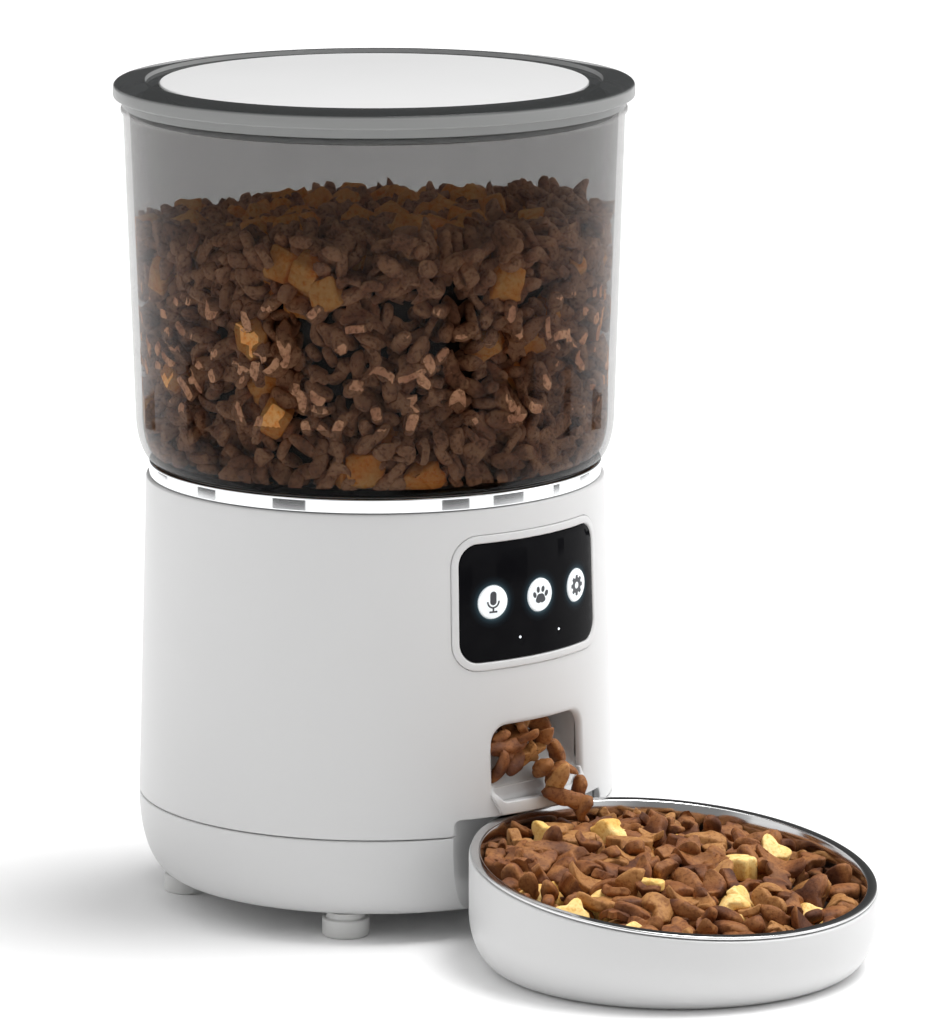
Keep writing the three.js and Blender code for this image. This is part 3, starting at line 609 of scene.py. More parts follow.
CORNER_RADIUS = HOPPER_RADIUS_LOW - HOPPER_CORNER_WIDTH
CORNER_TOP = HOPPER_BOTTOM + HOPPER_CORNER_RISE
hopper_profile = [
    *rounded([
        (NECK_RADIUS, 158.3, 0), (NECK_RADIUS, 151, 0.6), (48, 151, 0.6), (48, 156.4, 1),
        (80, HOPPER_BOTTOM, 2), (CORNER_RADIUS, HOPPER_BOTTOM, 0),
    ], closed=False),
    *elliptic(CORNER_RADIUS, CORNER_TOP, HOPPER_CORNER_WIDTH, HOPPER_CORNER_RISE, -86, 0),
    *rounded([
        (hopper_radius(200), 200, 0), (hopper_radius(301.6), 301.6, 0.8), (95.7, 302.4, 0.6),
        (95.7, HOPPER_TOP, 0.8), (HOPPER_RADIUS_TOP - HOPPER_WALL, HOPPER_TOP, 0.6),
        (HOPPER_RADIUS_LOW - HOPPER_WALL, 200, 0),
    ], closed=False),
    *elliptic(CORNER_RADIUS, CORNER_TOP, HOPPER_INNER_WIDTH, HOPPER_INNER_RISE, 0, -86),
    (79.5, CORNER_TOP - HOPPER_INNER_RISE),
]
lathe("hopper_shell", hopper_profile, SMOKE, "hopper", stands_for=["hopper_tank"],
      slot="smoked_clear")

# ------------------------------------------------------------------ chrome ring, housing, base

chrome_band = rounded([
    (83.6, HOUSING_TOP + 0.3, 0.3), (86.2, HOUSING_TOP + 0.3, 0.4), (86.2, HOUSING_TOP + 0.8, 0),
    (86.2, DECK_TOP - 0.9, 0), (86.2, DECK_TOP, 0.8), (83.6, DECK_TOP, 0.3),
])
lathe("chrome_band", chrome_band, CHROME, "base", stands_for=["chrome_ring"], slot="chrome")
seat = rounded([
    (81, 160.9, 0.3), (84.6, 160.9, 0.3), (84.6, HOUSING_TOP, 0.3), (83.3, HOUSING_TOP, 0.2),
    (83.3, DECK_TOP, 0.4), (79.6, DECK_TOP, 1), (49, 155.9, 0.8), (49, 153.4, 0.5),
    (81, 166.9, 2),
])
lathe("funnel_seat", seat, WHITE, "base", stands_for=["hopper_seat"], slot="gloss_white")

FASCIA_CORNER = 7.7
BEZEL_WIDTH = 3.3
BEZEL_PROUD = 0.45


def panel_outline(outset):
    """Outline of the touch panel, grown by the outset."""
    return rounded_rectangle(FASCIA_HALF_WIDTH + outset, FASCIA_HALF_HEIGHT + outset,
                             FASCIA_CORNER + outset, PANEL_HEIGHT)


HALF_TURN = math.pi * REFERENCE_RADIUS
bite = math.radians(25.2) * REFERENCE_RADIUS
bottom_edge = dense(rounded([
    (-HALF_TURN, HOUSING_BOTTOM, 0), (-bite, HOUSING_BOTTOM, 1.5), (-bite + 0.3, NOTCH_TOP, 2.5),
    (bite - 0.3, NOTCH_TOP, 2.5), (bite, HOUSING_BOTTOM, 1.5), (HALF_TURN, HOUSING_BOTTOM, 0),
], 6, closed=False), 2.2, closed=False)
top_edge = dense([(HALF_TURN, HOUSING_TOP), (-HALF_TURN, HOUSING_TOP)], 2.2, closed=False)
window = panel_outline(BEZEL_WIDTH + 0.12)
outlet_middle = (OUTLET_BOTTOM + OUTLET_TOP) / 2
outlet_half_height = (OUTLET_TOP - OUTLET_BOTTOM) / 2
mouth_edge = rounded_rectangle(OUTLET_HALF_WIDTH, outlet_half_height, 7, outlet_middle, gap=1.5)
wall = skin("housing_wall", [
    (bottom_edge, False, 0.6), (top_edge, False, 0.9), (window[::-1], True, 0.35),
    (mouth_edge[::-1], True, 2.0),
], housing_surface(), HOUSING_WALL, period=2 * HALF_TURN)
finished("housing_wall", wall, WHITE, "base", ["upper_housing"], "gloss_white")

bezel = skin("bezel_frame", [
    (panel_outline(BEZEL_WIDTH), True, 0.6), (panel_outline(0.2)[::-1], True, 0.9),
], housing_surface(BEZEL_PROUD), 4.5, spacing=3)
finished("bezel_frame", bezel, WHITE, "base", ["panel_bezel"], "gloss_white")


def circle(radius, along, up, steps=48):
    turns = [2 * math.pi * step / steps for step in range(steps)]
    return np.array([(along + radius * math.cos(t), up + radius * math.sin(t)) for t in turns])


def wall_hole(radius, angle, height, fillet, steps=48):
    """Clockwise round loop for a hole in the wall, at an angle from the front."""
    along = math.radians(angle) * REFERENCE_RADIUS
    return circle(radius, along, height, steps)[::-1], True, fillet


holes = [wall_hole(KEY_RADIUS + 0.2, angle, PANEL_HEIGHT, 0.2) for angle in KEY_ANGLES]
holes += [wall_hole(0.65, angle, LENS_HEIGHT, 0.1, 16) for angle in (-LENS_ANGLE, LENS_ANGLE)]


def halo_material():
    """Black gloss that glows faintly round each backlit key."""
    graph = material_graph("lit_black_gloss")
    spot = graph.add("TexCoord", {}, "Object")
    reaches = [
        graph.add("VectorMath", {0: spot, 1: on_wall(angle, PANEL_HEIGHT)}, "Value",
                  operation="DISTANCE")
        for angle in KEY_ANGLES
    ]
    nearest = graph.math("MINIMUM", graph.math("MINIMUM", *reaches[:2]), reaches[2])
    fade = graph.spread(nearest, 1.0, 0.0, KEY_RADIUS * MM, HALO_RADIUS * MM)
    glow = graph.ramp(fade, [
        (0.0, (0, 0, 0)), (0.45, (0.003, 0.006, 0.008)), (0.8, (0.014, 0.027, 0.035)),
        (1.0, (0.05, 0.085, 0.10))])
    tint = graph.ramp(graph.noise(60, 2), [
        (0.3, (0.004, 0.004, 0.005)), (0.7, (0.007, 0.007, 0.008))])
    return graph.finish(Base_Color=tint, Emission_Color=glow, Emission_Strength=1.0,
                        Roughness=0.05, Specular_IOR_Level=0.02)


fascia = skin("touch_fascia", [(panel_outline(-0.05), True, 0.3), *holes], housing_surface(0.1),
              1.9, spacing=3)
finished("touch_fascia", fascia, halo_material(), "base", ["panel_fascia"], "gloss_black")

# ------------------------------------------------------------------ keys, symbols and lenses

KEY_FACE = housing_radius(PANEL_HEIGHT) + 0.3
KEY_BACK = 84.4
key_profile = rounded([
    (0, KEY_BACK, 0), (KEY_RADIUS + 1.3, KEY_BACK, 0.2), (KEY_RADIUS + 1.3, KEY_BACK + 0.8, 0.2),
    (KEY_RADIUS, KEY_BACK + 0.8, 0.2), (KEY_RADIUS, KEY_FACE, 0.7), (0, KEY_FACE, 0),
], closed=False)


def ellipse(across, up, half_width, half_height, lean=0, steps=28):
    turn = math.radians(lean)
    outline = []
    for step in range(steps):
        angle = 2 * math.pi * step / steps
        x, y = half_width * math.cos(angle), half_height * math.sin(angle)
        outline.append((across + x * math.cos(turn) - y * math.sin(turn),
                        up + x * math.sin(turn) + y * math.cos(turn)))
    return np.array(outline)


def arc(radius, start, end, middle=0.0, steps=24):
    turns = [math.radians(start + (end - start) * step / steps) for step in range(steps + 1)]
    return [(radius * math.cos(t), middle + radius * math.sin(t)) for t in turns]


def microphone_loops():
    capsule = rounded([(1.35, -1.1, 1.3), (1.35, 4.1, 1.3), (-1.35, 4.1, 1.3), (-1.35, -1.1, 1.3)])
    cradle = [
        *arc(2.75, 180, 262, 0.4), (-0.35, -3.3), (-1.7, -3.3), (-1.7, -4.0),
        (1.7, -4.0), (1.7, -3.3), (0.35, -3.3), *arc(2.75, 278, 360, 0.4),
        *arc(2.1, 360, 180, 0.4),
    ]
    return [[np.array(capsule)], [np.array(cradle)]]


def paw_loops():
    pad = rounded([
        (0.9, -3.1, 0.8), (2.9, -2.3, 1.1), (1.5, 0.5, 1.6), (-1.5, 0.5, 1.6),
        (-2.9, -2.3, 1.1), (-0.9, -3.1, 0.8), (0, -2.8, 0.4),
    ])
    toes = [ellipse(x, y, 0.82, 1.2, lean) for x, y, lean in (
        (-3.05, 0.35, 25), (-1.25, 2.1, 8), (1.25, 2.1, -8), (3.05, 0.35, -25))]
    return [[np.array(pad)], *[[toe] for toe in toes]]


def gear_loops():
    outline = []
    teeth = 8
    for tooth in range(teeth):
        middle = 2 * math.pi * tooth / teeth
        for share, radius in ((-0.33, 3.0), (-0.24, 4.0), (0.24, 4.0), (0.33, 3.0)):
            angle = middle + share * 2 * math.pi / teeth
            outline.append((radius * math.cos(angle), radius * math.sin(angle), 0.35))
    return [[np.array(rounded(outline, 3)), circle(1.3, 0, 0, 24)[::-1]]]


symbols = {"record": microphone_loops(), "feed": paw_loops(), "settings": gear_loops()}
for (use, loops), angle in zip(symbols.items(), KEY_ANGLES):
    spun(f"{use}_key_cap", key_profile, facing(angle, 0, PANEL_HEIGHT), KEY_GLOW, f"{use}_key",
         96, closed=False, stands_for=[f"{use}_button"], slot="backlit_white")
    key_plane = facing(angle, 0, PANEL_HEIGHT)

    def on_key(along, up, inset):
        spot = key_plane @ Vector((along, up, KEY_FACE + 0.06 - inset))
        return place(*spot)

    shapes = [
        skin(f"{use}_shape", [(dense(loop, 0.5), True, 0.03) for loop in group], on_key, 0.1, 0.7)
        for group in loops
    ]
    symbol = finished(f"{use}_symbol", shapes[0], SYMBOL, f"{use}_key", slot="matte_black")
    join_meshes(symbol, *shapes[1:])

for side, angle in (("left", -LENS_ANGLE), ("right", LENS_ANGLE)):
    face = housing_radius(LENS_HEIGHT) + 0.15
    dot = rounded([(0, face - 2.6, 0), (0.5, face - 2.6, 0), (0.5, face, 0.2), (0, face, 0)],
                  closed=False)
    spun(f"lens_dot_{side}", dot, facing(angle, 0, LENS_HEIGHT), LENS_GLOW, "base", 24,
         closed=False, stands_for=[f"indicator_lens_{side}"], slot="backlit_white")

# ------------------------------------------------------------------ base, feet and screws

FLAT_RADIUS, CORNER_HEIGHT = 79, 28.3


def base_outline(inset, bottom):
    width, rise = BASE_RADIUS - FLAT_RADIUS - inset, CORNER_HEIGHT - inset
    return elliptic(FLAT_RADIUS, bottom + rise, width, rise, -88, 0, 20)


base_profile = [
    (0, BASE_BOTTOM), (FLAT_RADIUS - 1, BASE_BOTTOM), *base_outline(0, BASE_BOTTOM),
    *rounded([(BASE_RADIUS, 39, 0), (BASE_RADIUS, BASE_TOP, 0.7),
              (BASE_RADIUS - 2.5, BASE_TOP, 0.3), (BASE_RADIUS - 2.5, 39, 0)], closed=False),
    *base_outline(2.5, BASE_BOTTOM + 2.5)[::-1], (FLAT_RADIUS - 1, BASE_BOTTOM + 2.5),
    (0, BASE_BOTTOM + 2.5),
]
base = lathe("base_pan", base_profile, WHITE, "base", closed=False,
             stands_for=["base_shell"], slot="gloss_white")
core_top = NOTCH_TOP - 0.3
core_profile = [
    (0, BASE_BOTTOM), (FLAT_RADIUS - 1, BASE_BOTTOM), *base_outline(0, BASE_BOTTOM),
    (BASE_RADIUS, BASE_TOP), (88.1, BASE_TOP), (88.1, core_top), (0, core_top),
]
core_mesh = mesh_from("core", *turned(core_profile, closed=False))
core_piece = add_object("core", core_mesh)
bowl_centre = (0, BOWL_Y)
carve(core_piece, drum(NOTCH_RADIUS + 2.5, -5, 60, bowl_centre, 256), "INTERSECT")
carve(base, core_piece.data.copy(), "UNION")
bpy.data.objects.remove(core_piece)
bay_low, bay_high = span("battery_cover")
bay_low, bay_high = bay_low - [0.4, 0.4, 0], bay_high + [0.4, 0.4, 0]
carve(base, block((bay_low[0] - 2, bay_low[1] - 2, BASE_BOTTOM + 0.01),
                  (bay_high[0] + 2, bay_high[1] + 2, 50.5)), "UNION")
screws = {}
for corner_name in ("front_left", "front_right", "rear_left", "rear_right"):
    low, high = span(f"base_screw_{corner_name}")
    screws[corner_name] = ((low + high) / 2)[:2]
    carve(base, drum(6.2, BASE_BOTTOM + 1.5, 41.2, screws[corner_name], 48), "UNION")
carve(base, drum(NOTCH_RADIUS, -10, 70, bowl_centre, 288))
carve(base, block((bay_low[0], bay_low[1], 0), (bay_high[0], bay_high[1], 48.5)))
carve(base, block((-16.6, -80, 18.4), (16.6, -60, 27.6)))
for middle in (-8, 0, 8):
    carve(base, block((middle - 1.5, -62, 0), (middle + 1.5, -40, 15)))
for spot in screws.values():
    carve(base, drum(4.2, 0, 20, spot, 48))
shade(base.data, 28)

foot_profile = rounded([
    (0, 0, 0), (8.85, 0, 0.9), (8.85, 7, 1.4), (7.2, 7, 0.6), (7.2, 9.4, 0.3), (0, 9.4, 0),
], closed=False)
screw_profile = rounded([
    (0, 18.6, 0), (1.5, 18.6, 0.1), (1.5, 17.4, 0.2), (3.8, 17.4, 0.8), (3.8, 19.7, 0.3),
    (2, 19.7, 0.2), (2, 53, 0.8), (0, 53, 0),
], closed=False)
for corner_name, spot in screws.items():
    low, high = span(f"foot_{corner_name}")
    lathe(f"foot_pad_{corner_name}", foot_profile, FOOT_WHITE, "base", ((low + high) / 2)[:2], 96,
          closed=False, stands_for=[f"foot_{corner_name}"], slot="foot_white")
    lathe(f"screw_{corner_name}", screw_profile, PLAIN_STEEL, "base", spot, 48, closed=False,
          stands_for=[f"base_screw_{corner_name}"], slot="motor_steel")

# ------------------------------------------------------------------ outlet


def proud_lip(along, up, inset):
    """The lip stands proud at the bottom of the outlet and sinks into the wall higher up."""
    fade = np.clip((up - 53) / 5, 0, 1)
    fade = fade * fade * (3 - 2 * fade)
    return on_wall(math.degrees(along / REFERENCE_RADIUS), up, 1.3 - 1.9 * fade - inset)


lip_edge = dense(rounded([
    (-24.6, 58.5, 0.6), (-24.6, 55, 3), (-20.5, 47.3, 1.5), (20.5, 47.3, 1.5), (24.6, 55, 3),
    (24.6, 58.5, 0.6), (22.8, 58.5, 0.6), (22.8, 56, 2), (19, 52.2, 2), (-19, 52.2, 2),
    (-22.8, 56, 2), (-22.8, 58.5, 0.6),
], 5), 1.2)
lip = skin("lip", [(lip_edge, True, 0.6)], proud_lip, 3.2, spacing=2)


def loft(name, rings):
    """Closed mesh through matching rings of places; the last ring joins the first."""
    vertices = [spot for ring in rings for spot in ring]
    count, faces = len(rings[0]), []
    for index in range(len(rings)):
        here, there = index * count, (index + 1) % len(rings) * count
        for step in range(count):
            after = (step + 1) % count
            faces.append((here + step, here + after, there + after, there + step))
    return mesh_from(name, vertices, faces)


def floor_height(distance):
    return 104 - 0.833 * (distance - 28)


def duct_outline(outset, floor, ceiling, corner=6.0):
    """Counter-clockwise (across, up) outline of the duct between two heights."""
    return rounded_rectangle(OUTLET_HALF_WIDTH - 0.1 + outset, (ceiling - floor) / 2 + outset,
                             corner + outset, (ceiling + floor) / 2, gap=1e6, steps=10)


LINING_FACE = 2.1
LINING_BACK = 83.7


def lining_ring(outset, depth):
    """Ring of the outlet's lining, at a depth behind the wall's face or at its back edge.

    Behind its face the lining rises with the chute's floor.
    """
    ring = []
    for across, up in duct_outline(outset, OUTLET_BOTTOM + 0.3, OUTLET_TOP - 0.1):
        distance, share = LINING_BACK, 0
        if depth is not None:
            distance = math.sqrt((housing_radius(up) - depth) ** 2 - across ** 2)
        if depth != LINING_FACE:
            share = np.clip((OUTLET_TOP - up) / (OUTLET_TOP - OUTLET_BOTTOM), 0, 1)
        lift = max(0, floor_height(distance) - OUTLET_BOTTOM - 0.3)
        ring.append(place(across, -distance, up + share * lift))
    return ring


lining = loft("outlet_lining", [
    lining_ring(0, LINING_FACE), lining_ring(2.0, 2.6), lining_ring(2.0, None),
    lining_ring(0, None),
])
spout = finished("spout_lip", lip, WHITE, "base", ["outlet_spout"], "gloss_white")
join_meshes(spout, lining)
shade(spout.data, 40)

# The chute's sections run from its mouth at the wall up to the cup's exit.
CHUTE_SECTIONS = [
    ((-84.4, 56.7), (-84.4, 81.3)), ((-76, 64.0), (-76, 83.4)), ((-68, 70.7), (-68.5, 85.8)),
    ((-58, 79.0), (-61, 88.3)), ((-46, 89.0), (-56.5, 91)), ((-36, 97.5), (-55, 96)),
    ((-30, 102.5), (-55, 103)), ((-29.5, 111.7), (-55, 111.7)),
]


def chute_ring(section, outset):
    (floor_y, floor_z), (roof_y, roof_z) = section
    tall = math.hypot(roof_y - floor_y, roof_z - floor_z)
    ring = []
    for across, up in duct_outline(outset, 0, tall, 5.0):
        share = up / tall
        y = floor_y + share * (roof_y - floor_y)
        z = floor_z + share * (roof_z - floor_z)
        ring.append(place(across, y, z))
    return ring


chute_rings = [chute_ring(section, 0) for section in CHUTE_SECTIONS]
chute_rings += [chute_ring(section, 1.6) for section in reversed(CHUTE_SECTIONS)]
finished("chute_duct", loft("chute_duct", chute_rings), WHITE_SATIN, "base", ["chute"],
         "satin_white")

# ------------------------------------------------------------------ tray and bowl


def rim_plane(x, y):
    """Height of the tilted rim plane over a place given from the bowl's middle."""
    return RIM_HEIGHT + y * math.tan(RIM_TILT)


def tray_profile(angle):
    top = [rim_plane(0, -radius * math.cos(angle)) - 0.5 for radius in (TRAY_RADIUS, 73)]
    flat = TRAY_RADIUS - 12
    return [
        (0, 0), (flat - 1.5, 0), *elliptic(flat, 20, 12, 20, -88, 0, 18),
        *rounded([(TRAY_RADIUS, 21, 0), (TRAY_RADIUS, top[0], 0.9), (73, top[1], 0.5),
                  (73, 21, 0)], closed=False),
        *elliptic(flat, 20, 9.5, 17.5, 0, -88, 18), (flat - 1.5, 2.5), (0, 2.5),
    ]


tray = lathe("tray_shell", tray_profile, WHITE, "tray", bowl_centre, 288, closed=False,
             stands_for=["bowl_tray"], slot="gloss_white")
tray_rear = BOWL_Y + TRAY_RADIUS
carve(tray, block((-16, tray_rear - 1.8, 19), (16, tray_rear + 11, 27)), "UNION")
shade(tray.data, 35)

IN_BOWL = Matrix.Translation((0, BOWL_Y, RIM_HEIGHT)) @ Matrix.Rotation(RIM_TILT, 4, "X")
BOWL_SIDE, BOWL_FLOOR = 71.1, -24
BOWL_CURVE_RADIUS, BOWL_CURVE_TOP = 54.1, -6
BOWL_INNER_RISE = 17.2
HEAP_FLOOR = -22.9
bowl_profile = [
    (0, BOWL_FLOOR), (53, BOWL_FLOOR),
    *elliptic(BOWL_CURVE_RADIUS, BOWL_CURVE_TOP, 17, 18, -88, 0, 18),
    *rounded([(BOWL_SIDE, -2, 0), (BOWL_SIDE, -0.1, 0.6), (75.3, -0.1, 0.3), (75.3, 1.0, 0.5),
              (71.6, 1.0, 0.9), (BOWL_SIDE - 0.8, -3, 0)], closed=False),
    *elliptic(BOWL_CURVE_RADIUS, BOWL_CURVE_TOP, 16.2, BOWL_INNER_RISE, 0, -88, 18),
    (53, BOWL_FLOOR + 0.8), (0, BOWL_FLOOR + 0.8),
]
spun("bowl_steel", bowl_profile, IN_BOWL, STEEL, "bowl", 256, closed=False,
     stands_for=["steel_bowl"], slot="steel")

# ------------------------------------------------------------------ dry food

LYING_SPREAD = 50
SQUARE = ((0, 0), (1, 0), (1, 1), (0, 1))


def food_material(name, tones, dark):
    """Baked crust: each place in the heap has its own tone, with darker speckles and pits."""
    graph = material_graph(name)
    stops = [(0.32 + 0.36 * i / (len(tones) - 1), tone) for i, tone in enumerate(tones)]
    tint = graph.ramp(graph.noise(70, 1.5, 0.4), stops)
    speckles = graph.ramp(graph.noise(620, 4, 0.65), [(0.36, dark), (0.52, (1, 1, 1))])
    crust = graph.add("Mix", {0: 1.0, 6: tint, 7: speckles}, 2,
                      data_type="RGBA", blend_type="MULTIPLY")
    graph.bump(graph.noise(420, 5, 0.6), 0.9 * MM, 0.6)
    return graph.finish(Base_Color=crust, Roughness=0.62, Specular_IOR_Level=0.32)


BROWN = food_material("kibble_brown", [
    (0.10, 0.030, 0.009), (0.24, 0.085, 0.024), (0.34, 0.14, 0.042), (0.15, 0.05, 0.014),
], (0.6, 0.5, 0.42))
LIGHT_BROWN = food_material("kibble_light_brown", [
    (0.34, 0.15, 0.045), (0.46, 0.22, 0.07), (0.38, 0.17, 0.052),
], (0.65, 0.55, 0.45))
GOLDEN = food_material("kibble_golden", [
    (0.94, 0.63, 0.20), (1.0, 0.74, 0.31), (0.88, 0.53, 0.14),
], (0.85, 0.70, 0.48))
# The tank's kibble tones are painted lighter than the bowl's: painted light that makes up for the
# light the smoked walls take on the way in and out.
TANK_BROWN_PAINTED_LIGHTER = food_material("kibble_tank_brown_painted_lighter", [
    (0.36, 0.155, 0.08), (0.58, 0.28, 0.15), (0.72, 0.37, 0.20), (0.46, 0.205, 0.11),
], (0.45, 0.4, 0.36))
TANK_GOLDEN_PAINTED_LIGHTER = food_material("kibble_tank_golden_painted_lighter", [
    (1.0, 0.44, 0.11), (1.0, 0.52, 0.17), (1.0, 0.38, 0.08),
], (0.9, 0.6, 0.3))
# Near-black filler under the pieces: painted shade that shows in the gaps between them.
GAP_SHADE = food_material("painted_gap_shade", [
    (0.012, 0.005, 0.003), (0.022, 0.009, 0.004),
], (0.5, 0.5, 0.5))


def cube_ball(cuts):
    """Unit directions over a cube's faces, and the quads between them."""
    lookup, directions, quads = {}, [], []

    def corner(axis, side, u, v):
        spot = np.empty(3)
        spot[axis] = side
        spot[(axis + 1) % 3] = math.tan((2 * u / cuts - 1) * math.pi / 4)
        spot[(axis + 2) % 3] = math.tan((2 * v / cuts - 1) * math.pi / 4)
        key = tuple(np.round(spot, 6))
        if key not in lookup:
            lookup[key] = len(directions)
            directions.append(spot / np.linalg.norm(spot))
        return lookup[key]

    for axis in range(3):
        for side in (-1, 1):
            for u in range(cuts):
                for v in range(cuts):
                    quad = [corner(axis, side, u + a, v + b) for a, b in SQUARE]
                    quads.append(quad if side > 0 else quad[::-1])
    return np.array(directions), np.array(quads)


def kibble(kind, directions, rng):
    """One piece's points for unit directions: a flat chip with a shaped outline, about 1 across."""
    x, y, z = directions.T
    turn, level = np.arctan2(y, x), np.hypot(x, y)
    start = rng.uniform(0, 6)
    outline, half_height, edge = {
        "lens": (1 / np.sqrt(np.cos(turn) ** 2 + (np.sin(turn) / 0.6) ** 2), 0.38, 3.0),
        "tri": (0.84 + 0.27 * np.cos(3 * turn + start), 0.32, 6.0),
        "star": (0.78 + 0.27 * np.cos(rng.integers(4, 6) * turn + start), 0.30, 7.0),
        "bar": (1 / np.sqrt((np.cos(turn) / 1.5) ** 2 + (np.sin(turn) / 0.5) ** 2), 0.42, 3.2),
        "chunk": (0.84 + 0.15 * np.cos(rng.integers(4, 6) * turn + start), 0.66, 8.0),
        "fold": (1 / np.sqrt((np.cos(turn) / 1.25) ** 2 + (np.sin(turn) / 0.7) ** 2), 0.30, 5.0),
    }[kind]
    wobble = 1 + 0.09 * np.sin(2 * turn + rng.uniform(0, 6)) + 0.05 * np.sin(5 * turn + start)
    outline = outline * wobble
    reach = outline * level ** (2 / edge)
    rise = half_height * np.sign(z) * np.abs(z) ** (2 / edge)
    points = np.stack([reach * np.cos(turn), reach * np.sin(turn), rise], 1)
    for amplitude, pitch in ((0.06, 2.2), (0.03, 4.5), (0.01, 9)):
        wave = points @ rng.normal(0, pitch, 3) + rng.uniform(0, 6)
        points = points * (1 + amplitude * np.sin(wave))[:, None]
    bend = {"bar": 0.25, "fold": 0.65, "star": 0.42, "tri": 0.48, "lens": 0.12, "chunk": 0.08}[kind]
    points[:, 2] += bend * rng.uniform(-1, 1) * (points[:, 0] ** 2 - 0.3)
    points[:, 2] += 0.6 * bend * rng.uniform(-1, 1) * points[:, 0] * points[:, 1]
    points[:, 0] *= 1 + 0.22 * rng.uniform(-1, 1) * points[:, 1]
    return points


def lying(rng):
    """Turn for a piece that lies about flat, tipped by up to the spread or so."""
    flat = Matrix.Rotation(rng.uniform(0, 2 * math.pi), 3, "Z")
    bearing = rng.uniform(0, 2 * math.pi)
    way = Vector((math.cos(bearing), math.sin(bearing), 0))
    tip = math.radians(rng.normal(0, LYING_SPREAD))
    return np.array(Matrix.Rotation(tip, 3, way) @ flat)


def spin(rng):
    """Random turn as a 3 by 3 matrix."""
    quaternion = rng.normal(size=4)
    a, b, c, d = quaternion / np.linalg.norm(quaternion)
    return np.array([
        [1 - 2 * (c * c + d * d), 2 * (b * c - a * d), 2 * (b * d + a * c)],
        [2 * (b * c + a * d), 1 - 2 * (b * b + d * d), 2 * (c * d - a * b)],
        [2 * (b * d - a * c), 2 * (c * d + a * b), 1 - 2 * (b * b + c * c)],
    ])


def settle(spots, radii, confine, rounds, closeness):
    """Pushes overlapping pieces apart and back into their room, round by round."""
    for _ in range(rounds):
        tree = kdtree.KDTree(len(spots))
        for index, spot in enumerate(spots):
            tree.insert(spot, index)
        tree.balance()
        push = np.zeros_like(spots)
        for index, spot in enumerate(spots):
            for near, other, distance in tree.find_range(spot, 2 * radii.max()):
                wanted = closeness * (radii[index] + radii[other])
                if other != index and 1e-6 < distance < wanted:
                    push[index] += (spot - np.array(near)) * (0.5 * (wanted - distance) / distance)
        spots = confine(spots + 0.7 * push, radii)
    return spots


def pour(name, spots, radii, kinds, turn, cuts, materials, body, keep_in, seed, parts=1):
    """Builds the pieces of food as a few objects for each material, kept in by keep_in."""
    rng = np.random.default_rng(seed)
    directions, quads = cube_ball(cuts)
    families = {}
    for index, (kind, finish) in enumerate(kinds):
        families.setdefault(finish, []).append(index)
    shapes = {kind: [kibble(kind, directions, rng) for _ in range(9)]
              for kind in sorted({kind for kind, _ in kinds})}
    for finish, members in families.items():
        for part in range(parts if len(members) > 60 else 1):
            chosen = members[part::parts] if len(members) > 60 else members
            blocks = []
            for index in chosen:
                shape = shapes[kinds[index][0]][rng.integers(9)] * radii[index]
                blocks.append(shape @ turn(rng).T + spots[index])
            vertices = np.vstack(blocks)
            vertices = ((keep_in(vertices) if keep_in else vertices) + [0, AXIS_Y, 0]) * MM
            step = len(directions)
            faces = np.vstack([quads + step * i for i in range(len(chosen))])
            mesh = bpy.data.meshes.new(f"{name}_{finish}_{part}")
            mesh.from_pydata(vertices, [], faces)
            mesh.update()
            finished(f"{name}_{finish}_{part}", mesh, materials[finish], body, sharp=180)


def choose(rng, count, menu):
    """Random (kind, finish) pairs by their weights."""
    options, weights = zip(*menu.items())
    picks = rng.choice(len(options), count, p=np.array(weights) / sum(weights))
    return [options[pick] for pick in picks]


def scattered(rng, count, distance, low, high):
    """Random places round the axis; distance turns even draws from 0 to 1 into radii."""
    turns = rng.uniform(0, 2 * math.pi, count)
    radii = distance(rng.uniform(0, 1, count))
    heights = rng.uniform(low, high, count)
    return np.stack([radii * np.sin(turns), -radii * np.cos(turns), heights], 1)


def sized(rng, kinds, golden, others):
    """Random radii for the pieces: one range for the golden chunks, one for the rest."""
    is_golden = [finish == "golden" for _, finish in kinds]
    return np.where(is_golden, rng.uniform(*golden, len(kinds)), rng.uniform(*others, len(kinds)))


# The hopper's food: pieces against the wall and over the top, round a lump that fills the rest.

SHELL_DEPTH, TOP_DEPTH = 19, 13
SHELL_COUNT, TOP_COUNT = 2700, 560
MIDDLES_FLOOR = 171.9
FOOD_FLOOR = 172.1


def food_top(x, y):
    return FOOD_LEVEL - 0.055 * y + 3.0 * np.sin(x / 19 + 1) * np.sin(y / 23) + 0.03 * np.abs(x)


def inner_radius(height):
    """Radius of the hopper's inner wall at a height, its rounded corner included."""
    wall_radius = HOPPER_RADIUS_LOW - HOPPER_WALL + (height - CORNER_TOP) * HOPPER_SLOPE
    drop = np.clip((CORNER_TOP - height) / HOPPER_INNER_RISE, 0, 1)
    corner_radius = CORNER_RADIUS + HOPPER_INNER_WIDTH * np.sqrt(1 - drop ** 2)
    return np.where(height < CORNER_TOP, corner_radius, wall_radius)


def in_hopper(spots, radii):
    spots = spots.copy()
    reach = 0.62 * radii
    top = food_top(spots[:, 0], spots[:, 1])
    spots[:, 2] = np.clip(spots[:, 2], MIDDLES_FLOOR + reach, top - reach)
    distance = np.hypot(spots[:, 0], spots[:, 1])
    outer = inner_radius(spots[:, 2]) - reach
    deep = spots[:, 2] < top - TOP_DEPTH
    inner = np.where(deep, outer - SHELL_DEPTH, 0)
    wanted = np.clip(distance, inner, outer)
    scale = wanted / np.maximum(distance, 1e-3)
    spots[:, :2] *= scale[:, None]
    return spots


